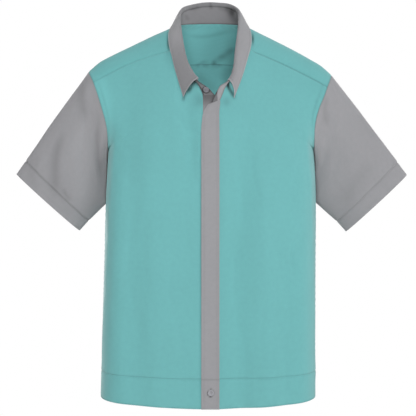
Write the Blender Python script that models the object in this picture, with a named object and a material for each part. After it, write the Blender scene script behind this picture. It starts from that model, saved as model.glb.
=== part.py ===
"""Short-sleeved button-front shirt, hollow and filled out as it is worn.

Every cut piece of cloth is its own closed wall: two fronts, back, yoke, sleeves, collar stand and
leaf, placket, hem bands and buttons. Sizes are in millimetres and become metres in add_solid().
+X is the wearer's left, -Y is the front and +Z is up. The origin lies on the middle of the shirt at
the height of the neck points, where it hangs on the shoulders. "right" and "left" are the wearer's.
"""

import math

import bmesh
import bpy
import numpy as np
from mathutils import Matrix, Vector

METRE = 0.001

# Cloth and seams
ONE_PLY = 1.5
TWO_PLY = 2.0
SEAM_GAP = 0.3

# Heights. Hem and band seam rise a little from the middle to the sides
HEM = -748.0
HEM_RISE = 13.5
BAND_SEAM = -691.0
BAND_SEAM_RISE = 8.0
HEM_BOW = 1.7
UNDERARM = -245.0
CHEST = -300.0

# Front closing: the under placket fills the gap between the fronts, the placket lies over it
UNDER_PLACKET_EDGE = {-1: -14.3, 1: 15.3}
UNDER_PLACKET_TOP = -144.6
PLACKET_LIFT = 0.8
PLACKET_COLUMNS = 5

# Armhole loop: reach in front of and behind the shoulder line
ARMHOLE_FRONT = 60.0
ARMHOLE_BACK = 70.0

# How square the sections are: at the side seams, across the chest and across the shoulder blades.
# Above and below the underarm one section changes into the other
SIDE_SQUARENESS = 7.0
SIDE_ROUNDING = 0.5
CHEST_SQUARENESS = 9.0
BLADE_SQUARENESS = 3.6
UNDERARM_SOFTNESS = 0.6
SECTION_CHANGE = {"below": 50.0, "above": 90.0}
CHEST_DEPTH = 112.0

# Yoke: turns of the armhole loop where its front and back seams end, and the bow of its seams
YOKE_FRONT_TURN = {-1: math.radians(132), 1: math.radians(130)}
YOKE_BACK_TURN = math.radians(124)
YOKE_SEAM_RISE = {-1: 9.5, 1: 4.0}
BACK_SEAM_HEIGHT = -64.0
BACK_SEAM_BOW = 2.2
# Rows of the neck seam at the yoke's front seams, its ridges and the corners of the back
NECK_JOIN = {-1: 6, 1: 17}
NECK_RIDGE = {-1: 7.7, 1: 15.3}
NECK_BACK = {-1: 9.2, 1: 13.8}
YOKE_BULGE = 22.0
YOKE_SOFTENING = 4
# Shape of the bulge from neck to border, and how it changes from the back (0) to the fronts (1)
YOKE_HUMP = {"neck": 0.7, "back": 0.8, "front": 0.22}
YOKE_HUMP_CHANGE = (0.45, 0.75)
YOKE_HUMP_END = (0.8, 1.0)

# Buttons: four holes in a dished face
BUTTON_RADIUS = 5.8
BUTTON_THICK = 2.6
BUTTON_DISH = 0.9
BUTTON_RIM = 1.5
BUTTON_EDGE = 0.5
BUTTON_HOLE_RADIUS = 0.85
BUTTON_HOLE_OUT = 1.9
BUTTON_LIFT = 0.5
HEM_BUTTON = {"x": 1.0, "z": -716.6}
STAND_BUTTON = {"row": 0.75, "share": 0.5, "step": 0.2}

# Grid densities
NECK_COLUMNS = 6
YOKE_COLUMNS = 8
BACK_COLUMNS = 22
BODY_ROWS = 13
ARMHOLE_ROWS = 9
YOKE_TURNS = 5
SLEEVE_ROWS = 9
UNDER_PLACKET_ROWS = 18
BAND_ROWS = 3
COLLAR_STEPS = 2
BUTTON_SIDES = 24
HOLE_SIDES = 10
MERGE = 0.0001

SOFT_ANGLE = math.radians(50)
BUTTON_SMOOTH_ANGLE = math.radians(30)

TEAL = (0.182, 0.475, 0.465)
GREY = (0.335, 0.335, 0.345)
DARK_GREY = (0.24, 0.24, 0.255)


def table(names, rows):
    """Rows of sizes as columns that can be asked for by name."""
    columns = zip(*rows)
    return {name: np.array(column, float) for name, column in zip(names.split(), columns)}


# Shoulder line seen from the front: height of the ridge at each distance out from the middle
RIDGE = table("out right left", (
    (0, 28, 28),
    (40, 17, 17),
    (76, 1, 0),
    (105, -12, -15),
    (150, -34, -39),
    (187, -53, -58),
    (205, -62, -67),
    (222, -72, -80),
    (234, -80, -88.5),
    (243, -87.5, -95.5),
))

# Armhole seam, seen from the front: how far out it runs at each height
ARMHOLE = table("height right left", (
    (-247, 204, 207),
    (-226, 202.5, 205.7),
    (-197, 204.5, 206),
    (-168, 212, 212.5),
    (-143, 219.5, 223),
    (-124, 226, 230),
    (-105, 234, 238),
    (-92, 241, 243),
))

# Side seams below the armhole
SIDE = table("height right left", (
    (-747, 219, 210),
    (-691, 217.5, 210),
    (-560, 214.5, 210.5),
    (-450, 211.5, 211),
    (-352, 209, 211.5),
    (-290, 206, 210),
    (-245, 204, 207),
))

# Edges of the placket near its top, seen from the front: the last row is its slanted top edge
PLACKET_EDGES = table("height right_x right_z left_x left_z", (
    (-215, -16.8, -215, 17.0, -215),
    (-200, -16.2, -200, 16.8, -197),
    (-180, -13.6, -179, 16.8, -176),
    (-165, -8.0, -167, 18.4, -159),
    (-155, -4.0, -161, 18.2, -152.6),
))

# How far the cloth stands forward of the shoulder line, by the drop below it
FRONT_PROFILE = table("drop depth", (
    (-30, 0),
    (0, 2),
    (10, 15),
    (25, 28),
    (54, 46),
    (80, 60),
    (110, 74),
    (150, 91),
    (200, 106),
    (250, 115),
    (320, 120),
    (450, 118),
    (600, 115),
    (800, 114),
))

# How far the back stands behind the middle, by height
BACK_PROFILE = table("height depth", (
    (-747, 108),
    (-691, 108),
    (-560, 106),
    (-440, 108),
    (-330, 114),
    (-230, 118),
    (-160, 115),
    (-110, 108),
    (-64, 100),
    (-20, 90),
))

# Soft folds: the shares of its length where a fold starts, is full, wanes and ends, and the strip
# beside the middle of the front that the folds leave free for the placket
FOLD_SPAN = (-0.12, 0.25, 0.75, 1.12)
SLEEVE_FOLD_SPAN = (-0.1, 0.3, 0.7, 1.1)
FOLD_FREE = (20, 34)

# Folds of the fronts: top and foot of each trough (a ridge where the depth is negative)
FRONT_FOLDS = table("top_x top_z foot_x foot_z width depth", (
    (-160, -120, -141, -800, 24, 10.5),
    (-58, -60, -27, -330, 15, 7.5),
    (62, -205, 66, -395, 20, 8.5),
    (112, -190, 112, -480, 34, -4.0),
    (37, -310, 40, -440, 13, -5.0),
    (50, -340, 56, -830, 25, 9.5),
    (104, -380, 108, -820, 22, -4.0),
    (144, -420, 146, -800, 19, 6.0),
    (166, -404, 150, -500, 9, 3.2),
    (-96, -360, -90, -760, 26, -2.6),
    (-150, -96, -152, -150, 14, 1.8),
))

# Folds of the back
BACK_FOLDS = table("top_x top_z foot_x foot_z width depth", (
    (-95, -110, -70, -560, 20, 4.0),
    (88, -105, 72, -520, 19, 4.0),
    (-20, -300, -34, -690, 18, 2.6),
    (30, -330, 44, -690, 20, 2.4),
    (-150, -260, -130, -640, 18, 3.0),
    (148, -240, 134, -600, 18, 3.0),
    (0, -90, 4, -300, 16, 2.4),
))

# Seam of collar and body, from the wearer's right front end round the back to the left end.
# In the rows that lie on the fronts the depth is read from the fronts instead.
NECK_SEAM = table("x y z on_front", (
    (-14.3, 0, -143, 1),
    (-19, 0, -131, 1),
    (-26.5, 0, -118, 1),
    (-39, 0, -105, 1),
    (-52, 0, -90, 1),
    (-63, 0, -71, 1),
    (-70, 0, -50, 1),
    (-72.5, -14, -13, 0),
    (-71, 13, 3, 0),
    (-62, 40, 9, 0),
    (-42, 60, 13, 0),
    (-15, 69, 15, 0),
    (15, 69, 15, 0),
    (42, 60, 13, 0),
    (62, 40, 9, 0),
    (71, 13, 3, 0),
    (72.5, -14, -13, 0),
    (71, 0, -47, 1),
    (65, 0, -70, 1),
    (56, 0, -92, 1),
    (46, 0, -106, 1),
    (34.5, 0, -116, 1),
    (27.5, 0, -129, 1),
    (22.5, 0, -143, 1),
    (18.5, 0, -152, 1),
))

# Fold line along the top of the collar, row for row with the neck seam
ROLL_LINE = table("x y z", (
    (8.2, -93, -143),
    (-4, -89, -129),
    (-22.5, -86, -109),
    (-33, -80, -93),
    (-42, -72, -74),
    (-47.5, -60, -54),
    (-52.5, -40, -27),
    (-56.5, -14, 2),
    (-57, 14, 27.5),
    (-50.5, 40, 44.5),
    (-38.5, 54, 52),
    (-14, 61.5, 58),
    (14, 62, 58.5),
    (37.5, 53.5, 54),
    (47.5, 42, 45.5),
    (53.5, 18, 32),
    (54, -12, 4),
    (50.5, -38, -26),
    (47, -58, -54),
    (44, -74, -80),
    (40.5, -84, -97),
    (33.5, -95, -111),
    (19.5, -98, -124),
    (10.4, -102, -140),
    (2.3, -106.5, -157),
))

# Free edge of the collar leaf, between the leaf points
LEAF_EDGE = table("x y z on_front", (
    (-52.6, 0, -144, 1),
    (-61, 0, -117, 1),
    (-69.5, 0, -88, 1),
    (-76, 0, -61, 1),
    (-81.5, 0, -38, 1),
    (-83, -14, -13, 0),
    (-78.5, 14, 3.5, 0),
    (-71, 43, 9.5, 0),
    (-52, 77, 9, 0),
    (-18, 93, 8, 0),
    (18, 93, 8, 0),
    (52, 78, 9, 0),
    (71, 44, 9.5, 0),
    (77, 14, 4, 0),
    (81.5, -14, -13, 0),
    (81, 0, -38, 1),
    (75, 0, -62, 1),
    (66.5, 0, -92, 1),
    (57, 0, -120, 1),
    (46.4, 0, -147, 1),
))
ROLL_RADIUS = 3.4
STAND_LINES = 4
LEAF_FIRST_ROW = 2
LEAF_LAST_ROW = 21
LEAF_CLEAR = 3.6
LEAF_RISE = {"back": 8.0, "front": 5.0}
LEAF_RISE_CHANGE = (0.45, 0.95)
LEAF_SHARES = (0.16, 0.34, 0.55, 0.78, 1.0)
ROLL_ANGLES = (180, 135, 90, 45, 0)
COLLAR_LEAN = 0.5
LEAF_ARCH = {-1: 3.4, 1: 1.8}
LEAF_ARCH_COLUMNS = 4
LEAF_ARCH_PEAK = 0.7

# How far the leaf swells out between roll and edge: 0 is the middle of the back, 1 the leaf points
LEAF_SWELL = table("turn swell", (
    (0, 4),
    (0.22, 2),
    (0.42, 0.3),
    (0.62, 3),
    (1, 3),
))

# Sleeve underside from the underarm to the cuff: the top edge runs straight from the shoulder point
SLEEVE_UNDER = table("along right_x right_z left_x left_z y", (
    (0.00, 204, -247, 207, -247, 0),
    (0.12, 204, -266, 207, -265, 14),
    (0.30, 203, -296, 206, -294, 31),
    (0.45, 204, -322, 207, -320, 37),
    (0.60, 207, -346, 210, -344, 38),
    (0.75, 223, -364, 228, -363, 37),
    (0.88, 246, -387, 256, -388, 37),
    (1.00, 264, -406, 274, -408, 36),
))
SLEEVE_TOP_END = table("right_x right_z left_x left_z", ((386.5, -293, 393, -294),))
SLEEVE_BOW = {-1: 3.0, 1: 1.8}
SLEEVE_HEM_FROM = 0.878
SLEEVE_GAP_SHARE = 0.0015
SLEEVE_CLEAR = 2.4
SLEEVE_CLEAR_FROM = 0.08
SLEEVE_BEND_END = 0.6
SLEEVE_CROWDING = 1.15
SLEEVE_DEPTH = table("along front back", (
    (0.0, ARMHOLE_FRONT, ARMHOLE_BACK),
    (0.3, 50, 54),
    (0.7, 42, 46),
    (1.0, 37, 40),
))

# Folds of each sleeve: where along and how far round (0 under, 0.5 top, front half first)
SLEEVE_FOLDS = table("from_along from_turn to_along to_turn width depth", (
    (0.05, 0.33, 0.42, 0.14, 0.045, 3.0),
    (0.30, 0.27, 0.80, 0.16, 0.040, 2.2),
    (0.08, 0.70, 0.55, 0.86, 0.050, 3.0),
    (0.35, 0.62, 0.85, 0.76, 0.045, 2.0),
))


def follow(params, values, at):
    """Smooth curve through the values, without overshoot at the ends."""
    params = np.asarray(params, float)
    values = np.asarray(values, float)
    at = np.clip(np.asarray(at, float), params[0], params[-1])
    steps = np.diff(params)
    shape = (-1,) + (1,) * (values.ndim - 1)
    slopes = np.diff(values, axis=0) / steps.reshape(shape)
    tangents = np.empty_like(values)
    tangents[0] = slopes[0]
    tangents[-1] = slopes[-1]
    before = steps[:-1].reshape(shape)
    after = steps[1:].reshape(shape)
    tangents[1:-1] = (slopes[:-1] * after + slopes[1:] * before) / (before + after)
    index = np.clip(np.searchsorted(params, at, side="right") - 1, 0, len(steps) - 1)
    local_shape = at.shape + (1,) * (values.ndim - 1)
    step = steps[index].reshape(local_shape)
    part = ((at - params[index]) / steps[index]).reshape(local_shape)
    start = (2 * part**3 - 3 * part**2 + 1) * values[index]
    start_pull = (part**3 - 2 * part**2 + part) * step * tangents[index]
    end = (3 * part**2 - 2 * part**3) * values[index + 1]
    end_pull = (part**3 - part**2) * step * tangents[index + 1]
    return start + start_pull + end + end_pull


def side_name(side):
    return "right" if side < 0 else "left"


def unit(vectors):
    return vectors / np.linalg.norm(vectors, axis=-1, keepdims=True)


def fade(value, start, end):
    """0 below start, 1 above end, soft between."""
    part = np.clip((value - start) / (end - start), 0, 1)
    return part * part * (3 - 2 * part)


def within(part, span):
    """1 in the middle of a span of four stops, 0 outside it, soft at both ends."""
    start, full, wane, end = span
    return fade(part, start, full) * (1 - fade(part, wane, end))


def ridge_height(out, side):
    return follow(RIDGE["out"], RIDGE[side_name(side)], out)


def edge_out(height, side):
    """Distance out to the side seam or, above the underarm, to the armhole."""
    seam = follow(SIDE["height"], SIDE[side_name(side)], height)
    armhole = follow(ARMHOLE["height"], ARMHOLE[side_name(side)], height)
    return np.where(height < UNDERARM, seam, armhole)


def armhole_top(side):
    return RIDGE[side_name(side)][-1]


def armhole_reach(height, side, reach, softness):
    """How far the armhole loop stands off the shoulder line at a height, softened at the underarm."""
    part = (height - UNDERARM) / (armhole_top(side) - UNDERARM)
    part = np.clip((part + np.sqrt(part**2 + softness**2)) / 2, 0, 1)
    return reach * 2 * np.sqrt(part * (1 - part))


def fold_depth(x, z, folds):
    """Summed depth of the soft troughs that pass a point of the front view."""
    total = np.zeros(np.broadcast(x, z).shape)
    for row in zip(*folds.values()):
        top_x, top_z, foot_x, foot_z, width, depth = row
        along = (top_z - z) / (top_z - foot_z)
        middle = top_x + (foot_x - top_x) * along
        total = total + depth * within(along, FOLD_SPAN) * np.exp(-((x - middle) / width) ** 2)
    return total


def side_share(x, z, side):
    """0 at the middle, 1 at the side seam or armhole."""
    return np.clip(np.abs(x) / edge_out(z, side), 0, 1)


def round_into_side(depth, x, z, side, reach, squareness):
    """Let the depth of a panel run out at the side seam and, above it, into the armhole loop."""
    share = side_share(x, z, side)
    upper = fade(z, UNDERARM - SECTION_CHANGE["below"], UNDERARM + SECTION_CHANGE["above"])
    power = SIDE_SQUARENESS + (squareness - SIDE_SQUARENESS) * upper
    rounding = SIDE_ROUNDING + (1 - SIDE_ROUNDING) * upper
    level = z + ridge_height(edge_out(z, side), side) - ridge_height(np.abs(x), side)
    loop = armhole_reach(level, side, reach, UNDERARM_SOFTNESS * (1 - share))
    return loop + (depth - loop) * (1 - share**power) ** rounding


def front_y(x, z, side):
    """Depth of the outer face of the fronts at a point of the front view."""
    drop = ridge_height(np.abs(x), side) - z
    depth = follow(FRONT_PROFILE["drop"], FRONT_PROFILE["depth"], drop)
    depth = depth - fold_depth(x, z, FRONT_FOLDS) * fade(np.abs(x), *FOLD_FREE)
    return -round_into_side(depth, x, z, side, ARMHOLE_FRONT, CHEST_SQUARENESS)


def back_y(x, z, side):
    """Depth of the outer face of the back."""
    depth = follow(BACK_PROFILE["height"], BACK_PROFILE["depth"], z)
    depth = depth - fold_depth(x, z, BACK_FOLDS)
    return round_into_side(depth, x, z, side, ARMHOLE_BACK, BLADE_SQUARENESS)


def body_out(y, z, side):
    """Distance out to the body beside a point at some depth and height."""
    part = np.clip(np.abs(y) / CHEST_DEPTH, 0, 1) ** (1 / SIDE_ROUNDING)
    return edge_out(z, side) * (1 - part) ** (1 / SIDE_SQUARENESS)


def armhole_point(turn, side, front):
    """Point of the armhole loop: turn 0 is the underarm and pi the shoulder point."""
    height = UNDERARM + (armhole_top(side) - UNDERARM) * (1 - np.cos(turn)) / 2
    reach = -ARMHOLE_FRONT if front else ARMHOLE_BACK
    return np.stack([side * edge_out(height, side), reach * np.sin(turn), height], axis=-1)


def armhole_inward(turn, front):
    """Direction through the cloth at the armhole, the same for the body and for the sleeve."""
    backward = np.sin(turn) if front else -np.sin(turn)
    return np.stack([np.zeros_like(backward), backward, np.cos(turn)], axis=-1)


def blend_grid(bottom, top, inner, outer):
    """Grid that meets four edges. Rows go from bottom to top, columns from inner to outer."""
    rows = np.linspace(0, 1, len(inner))[:, None, None]
    columns = arc_share(bottom)[None, :, None]
    across = inner[:, None] * (1 - columns) + outer[:, None] * columns
    upward = bottom[None] * (1 - rows) + top[None] * rows
    corners = (bottom[0] * (1 - columns) + bottom[-1] * columns) * (1 - rows)
    corners = corners + (top[0] * (1 - columns) + top[-1] * columns) * rows
    return across + upward - corners


def arc_share(points):
    steps = np.linalg.norm(np.diff(points, axis=0), axis=1)
    total = np.concatenate([[0], np.cumsum(steps)])
    return total / total[-1]


def grid_normals(grid, closed=False):
    """Unit normal at each grid point, from the neighbours along both directions."""
    along = np.gradient(grid, axis=0)
    if closed:
        across = np.roll(grid, -1, axis=1) - np.roll(grid, 1, axis=1)
    else:
        across = np.gradient(grid, axis=1)
    return unit(np.cross(along, across))


def facing(normals, grid, centre):
    """The same normals, turned to point away from a centre."""
    outward = np.sum(normals * (grid - centre))
    return normals if outward > 0 else -normals


def add_solid(name, faces_of, colour, smooth_angle=SOFT_ANGLE):
    """One closed object from a function that fills a bmesh in millimetres."""
    shape = bmesh.new()
    faces_of(shape)
    bmesh.ops.scale(shape, vec=(METRE,) * 3, verts=shape.verts)
    bmesh.ops.recalc_face_normals(shape, faces=shape.faces)
    mesh = bpy.data.meshes.new(name)
    shape.to_mesh(mesh)
    shape.free()
    mesh.shade_smooth()
    mesh.set_sharp_from_angle(angle=smooth_angle)
    mesh.materials.append(cloth_material(name, colour))
    solid = bpy.data.objects.new(name, mesh)
    bpy.context.scene.collection.objects.link(solid)
    return solid


def cloth_material(name, colour):
    material = bpy.data.materials.new(name)
    material.use_nodes = True
    shader = material.node_tree.nodes["Principled BSDF"]
    shader.inputs["Base Color"].default_value = (*colour, 1.0)
    shader.inputs["Roughness"].default_value = 0.85
    shader.inputs["Metallic"].default_value = 0.0
    return material


def add_wall(name, outer, inner, colour, closed=False):
    """Wall of cloth between an outer and an inner grid of points."""
    rows, columns = outer.shape[:2]

    def fill(shape):
        sheets = []
        for grid in (outer, inner):
            sheets.append([[shape.verts.new(point) for point in row] for row in grid])
        face, lining = sheets
        last = columns if closed else columns - 1
        for row in range(rows - 1):
            for column in range(last):
                beside = (column + 1) % columns
                corners = ((row, column), (row, beside), (row + 1, beside), (row + 1, column))
                shape.faces.new([face[r][c] for r, c in corners])
                shape.faces.new([lining[r][c] for r, c in reversed(corners)])
        for row in (0, rows - 1):
            for column in range(last):
                beside = (column + 1) % columns
                edge = (face[row][column], face[row][beside], lining[row][beside], lining[row][column])
                shape.faces.new(edge if row else edge[::-1])
        if not closed:
            for column in (0, columns - 1):
                for row in range(rows - 1):
                    edge = (face[row][column], face[row + 1][column],
                            lining[row + 1][column], lining[row][column])
                    shape.faces.new(edge[::-1] if column else edge)

    return add_solid(name, fill, colour)


def upright(normals):
    """Normals whose first column has no lean across the front, where a panel meets the placket."""
    normals = normals.copy()
    normals[:, 0, 0] = 0
    return unit(normals)


def neck_curve():
    """Neck seam with the depth of its front rows read from the fronts."""
    points = np.stack([NECK_SEAM["x"], NECK_SEAM["y"], NECK_SEAM["z"]], axis=1)
    return on_fronts(points, NECK_SEAM["on_front"], 0)


def on_fronts(points, flags, lift):
    points = points.copy()
    for index, flag in enumerate(flags):
        if flag:
            x, _, z = points[index]
            side = -1 if x < 0 else 1
            points[index, 1] = front_y(x, z, side) - lift
    return points


def neck_part(first, last, count):
    """Evenly spread points of the neck seam between two of its rows."""
    points = neck_curve()
    return follow(np.arange(len(points)), points, np.linspace(first, last, count))


def front_top_edge(side):
    """Top edge of a front seen from the front: neckline, then the yoke seam out to the armhole."""
    end = 0 if side < 0 else len(NECK_SEAM["x"]) - 1
    neckline = neck_part(end, NECK_JOIN[side], NECK_COLUMNS + 1)
    neckline[0, 0] = UNDER_PLACKET_EDGE[side]
    corner = armhole_point(YOKE_FRONT_TURN[side], side, True)
    share = np.linspace(0, 1, YOKE_COLUMNS)[1:, None]
    seam = neckline[-1] + (corner - neckline[-1]) * share
    seam[:, 2] += YOKE_SEAM_RISE[side] * np.sin(np.pi * share[:, 0])
    return np.concatenate([neckline, seam])


def side_seam(side):
    heights = np.linspace(BAND_SEAM + BAND_SEAM_RISE, UNDERARM, BODY_ROWS + 1)[:-1]
    return np.stack([side * edge_out(heights, side), np.zeros(BODY_ROWS), heights], axis=1)


def bottom_spread(start, end, count, first_angle):
    """Points across the foot of a panel, closer together where it rounds into the side."""
    angles = np.linspace(first_angle, math.pi / 2, count)
    part = (np.sin(angles) - np.sin(first_angle)) / (1 - np.sin(first_angle))
    return start + (end - start) * part


def front_bottom(side, height, rise):
    """Points across the foot of a front at one height, on its outer face."""
    count = NECK_COLUMNS + YOKE_COLUMNS
    x = bottom_spread(UNDER_PLACKET_EDGE[side], side * edge_out(height, side), count, 0)
    z = height + rise * side_share(x, height, side) ** HEM_BOW
    x[-1] = side * edge_out(z[-1], side)
    return np.stack([x, front_y(x, z, side), z], axis=1)


def front_panel(side):
    """Outer face of one front and its normals, from the placket edge to the side and armhole."""
    top = front_top_edge(side)
    turns = np.linspace(0, YOKE_FRONT_TURN[side], ARMHOLE_ROWS)
    outer = np.concatenate([side_seam(side), armhole_point(turns, side, True)])
    bottom = front_bottom(side, BAND_SEAM, BAND_SEAM_RISE)
    share = (outer[:, 2] - outer[0, 2]) / (outer[-1, 2] - outer[0, 2])
    inner = bottom[0] + (top[0] - bottom[0]) * share[:, None]
    grid = blend_grid(bottom, top, inner, outer)
    inside = grid[:, :-1]
    inside[..., 1] = front_y(inside[..., 0], inside[..., 2], side)
    normals = upright(facing(grid_normals(grid), grid, np.array([0, 0, CHEST])))
    normals[:BODY_ROWS, -1] = (side, 0, 0)
    normals[BODY_ROWS:, -1] = -armhole_inward(turns, True)
    return grid, normals


def back_bottom(height, rise):
    """Points across the foot of the back at one height."""
    share = np.sin(np.linspace(-0.5, 0.5, BACK_COLUMNS + 1) * math.pi)
    z = height + rise * np.abs(share) ** HEM_BOW
    x = np.where(share < 0, edge_out(z, -1), edge_out(z, 1)) * share
    y = np.where(x < 0, back_y(x, z, -1), back_y(x, z, 1))
    return np.stack([x, y, z], axis=1)


def back_yoke_seam():
    """Seam of yoke and back, from the right armhole to the left one."""
    right = armhole_point(YOKE_BACK_TURN, -1, False)
    left = armhole_point(YOKE_BACK_TURN, 1, False)
    share = np.sin(np.linspace(-0.5, 0.5, BACK_COLUMNS + 1) * math.pi)
    x = np.where(share < 0, -right[0], left[0]) * share
    ends = np.where(share < 0, right[2], left[2])
    z = BACK_SEAM_HEIGHT + (ends - BACK_SEAM_HEIGHT) * np.abs(share) ** BACK_SEAM_BOW
    y = np.where(x < 0, back_y(x, z, -1), back_y(x, z, 1))
    seam = np.stack([x, y, z], axis=1)
    seam[0] = right
    seam[-1] = left
    return seam


def back_panel():
    """Outer face of the back and its normals, from the right side to the left."""
    turns = np.linspace(0, YOKE_BACK_TURN, ARMHOLE_ROWS)
    edges = {}
    for side in (-1, 1):
        edges[side] = np.concatenate([side_seam(side), armhole_point(turns, side, False)])
    grid = blend_grid(back_bottom(BAND_SEAM, BAND_SEAM_RISE), back_yoke_seam(), edges[-1], edges[1])
    inside = grid[:, 1:-1]
    x, z = inside[..., 0], inside[..., 2]
    inside[..., 1] = np.where(x < 0, back_y(x, z, -1), back_y(x, z, 1))
    normals = facing(grid_normals(grid), grid, np.array([0, 0, CHEST]))
    for side, column in ((-1, 0), (1, -1)):
        normals[:BODY_ROWS, column] = (side, 0, 0)
        normals[BODY_ROWS:, column] = -armhole_inward(turns, False)
    return grid, normals


def part_side_seams(grid, columns):
    """Leave half a seam gap at the side seams, from the hem up to the underarm."""
    parted = grid.copy()
    rows = slice(0, min(BODY_ROWS + 1, len(grid)))
    for column, beside in columns:
        step = unit(grid[rows, beside] - grid[rows, column])
        parted[rows, column] += step * SEAM_GAP / 2
    return parted


def part_ends(grid, first=False, last=False):
    """Leave half a seam gap at the bottom row, the top row or both."""
    parted = grid.copy()
    if first:
        parted[0] += unit(grid[1] - grid[0]) * SEAM_GAP / 2
    if last:
        parted[-1] += unit(grid[-2] - grid[-1]) * SEAM_GAP / 2
    return parted


def add_front(side):
    grid, normals = front_panel(side)
    outer = part_side_seams(part_ends(grid, first=True, last=True), ((-1, -2),))
    add_wall("front_" + side_name(side), outer, outer - normals * ONE_PLY, TEAL)


def add_back():
    grid, normals = back_panel()
    outer = part_side_seams(part_ends(grid, first=True, last=True), ((0, 1), (-1, -2)))
    add_wall("back", outer, outer - normals * ONE_PLY, TEAL)


def yoke_panel():
    """Outer face of the yoke: columns fan out from the neck seam to the front seams, armholes and back."""
    back_seam, back_normals = (part[-1] for part in back_panel())
    borders = {}
    for side in (-1, 1):
        front_turns = np.linspace(YOKE_FRONT_TURN[side], math.pi, YOKE_TURNS)
        back_turns = np.linspace(math.pi, YOKE_BACK_TURN, YOKE_TURNS)[1:]
        points = np.concatenate([armhole_point(front_turns, side, True),
                                 armhole_point(back_turns, side, False)])
        inward = np.concatenate([armhole_inward(front_turns, True),
                                 armhole_inward(back_turns, False)])
        borders[side] = points, -inward
    border = np.concatenate([borders[-1][0], back_seam[1:-1], borders[1][0][::-1]])
    border_normals = np.concatenate([borders[-1][1], back_normals[1:-1], borders[1][1][::-1]])
    rows_of_seam = []
    for side, turned in ((-1, 1), (1, -1)):
        ends = (NECK_JOIN[side], NECK_RIDGE[side], NECK_BACK[side])
        stretch = np.concatenate([np.linspace(ends[0], ends[1], YOKE_TURNS),
                                  np.linspace(ends[1], ends[2], YOKE_TURNS)[1:]])
        rows_of_seam.append(stretch[::turned])
    middle = np.linspace(NECK_BACK[-1], NECK_BACK[1], BACK_COLUMNS + 1)[1:-1]
    rows = np.concatenate([rows_of_seam[0], middle, rows_of_seam[1]])
    neck = follow(np.arange(len(NECK_SEAM["x"])), neck_curve(), rows)
    share = np.linspace(0, 1, YOKE_COLUMNS)[:, None, None]
    grid = neck[None] * (1 - share) + border[None] * share
    around = np.abs(np.linspace(-1, 1, len(border)))
    to_front = fade(around, *YOKE_HUMP_CHANGE)
    tail = YOKE_HUMP["back"] + (YOKE_HUMP["front"] - YOKE_HUMP["back"]) * to_front
    bulge = YOKE_BULGE * (1 - fade(around, *YOKE_HUMP_END))
    normals = facing(grid_normals(grid), grid, np.array([0, 0, CHEST]))
    hump = share ** YOKE_HUMP["neck"] * (1 - share) ** tail[None, :, None]
    grid = grid + normals * bulge[None, :, None] * hump
    for _ in range(YOKE_SOFTENING):
        grid[1:-1, 1:-1] = (grid[1:-1, :-2] + 2 * grid[1:-1, 1:-1] + grid[1:-1, 2:]) / 4
    fronts = {}
    for side, column in ((-1, 0), (1, -1)):
        front, front_normals = front_panel(side)
        grid[:, column] = front[-1, NECK_COLUMNS:]
        fronts[column] = front_normals[-1, NECK_COLUMNS:]
    normals = facing(grid_normals(grid), grid, np.array([0, 0, CHEST]))
    normals[-1] = border_normals
    for column, seam_normals in fronts.items():
        normals[:, column] = seam_normals
    return grid, normals


def add_yoke():
    grid, normals = yoke_panel()
    outer = grid.copy()
    back = slice(2 * YOKE_TURNS - 2, 1 - 2 * YOKE_TURNS)
    outer[-1, back] += unit(grid[-2, back] - grid[-1, back]) * SEAM_GAP / 2
    for column, beside in ((0, 1), (-1, -2)):
        outer[:, column] += unit(grid[:, beside] - grid[:, column]) * SEAM_GAP / 2
    add_wall("yoke", outer, outer - normals * ONE_PLY, TEAL)


def armhole_turns(side):
    """Turns round an armhole and the half that each lies in, from the underarm up the front."""
    front = np.concatenate([np.linspace(0, YOKE_FRONT_TURN[side], ARMHOLE_ROWS),
                            np.linspace(YOKE_FRONT_TURN[side], math.pi, YOKE_TURNS)[1:]])
    back = np.concatenate([np.linspace(math.pi, YOKE_BACK_TURN, YOKE_TURNS)[1:],
                           np.linspace(YOKE_BACK_TURN, 0, ARMHOLE_ROWS)[1:-1]])
    return front, back


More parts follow.
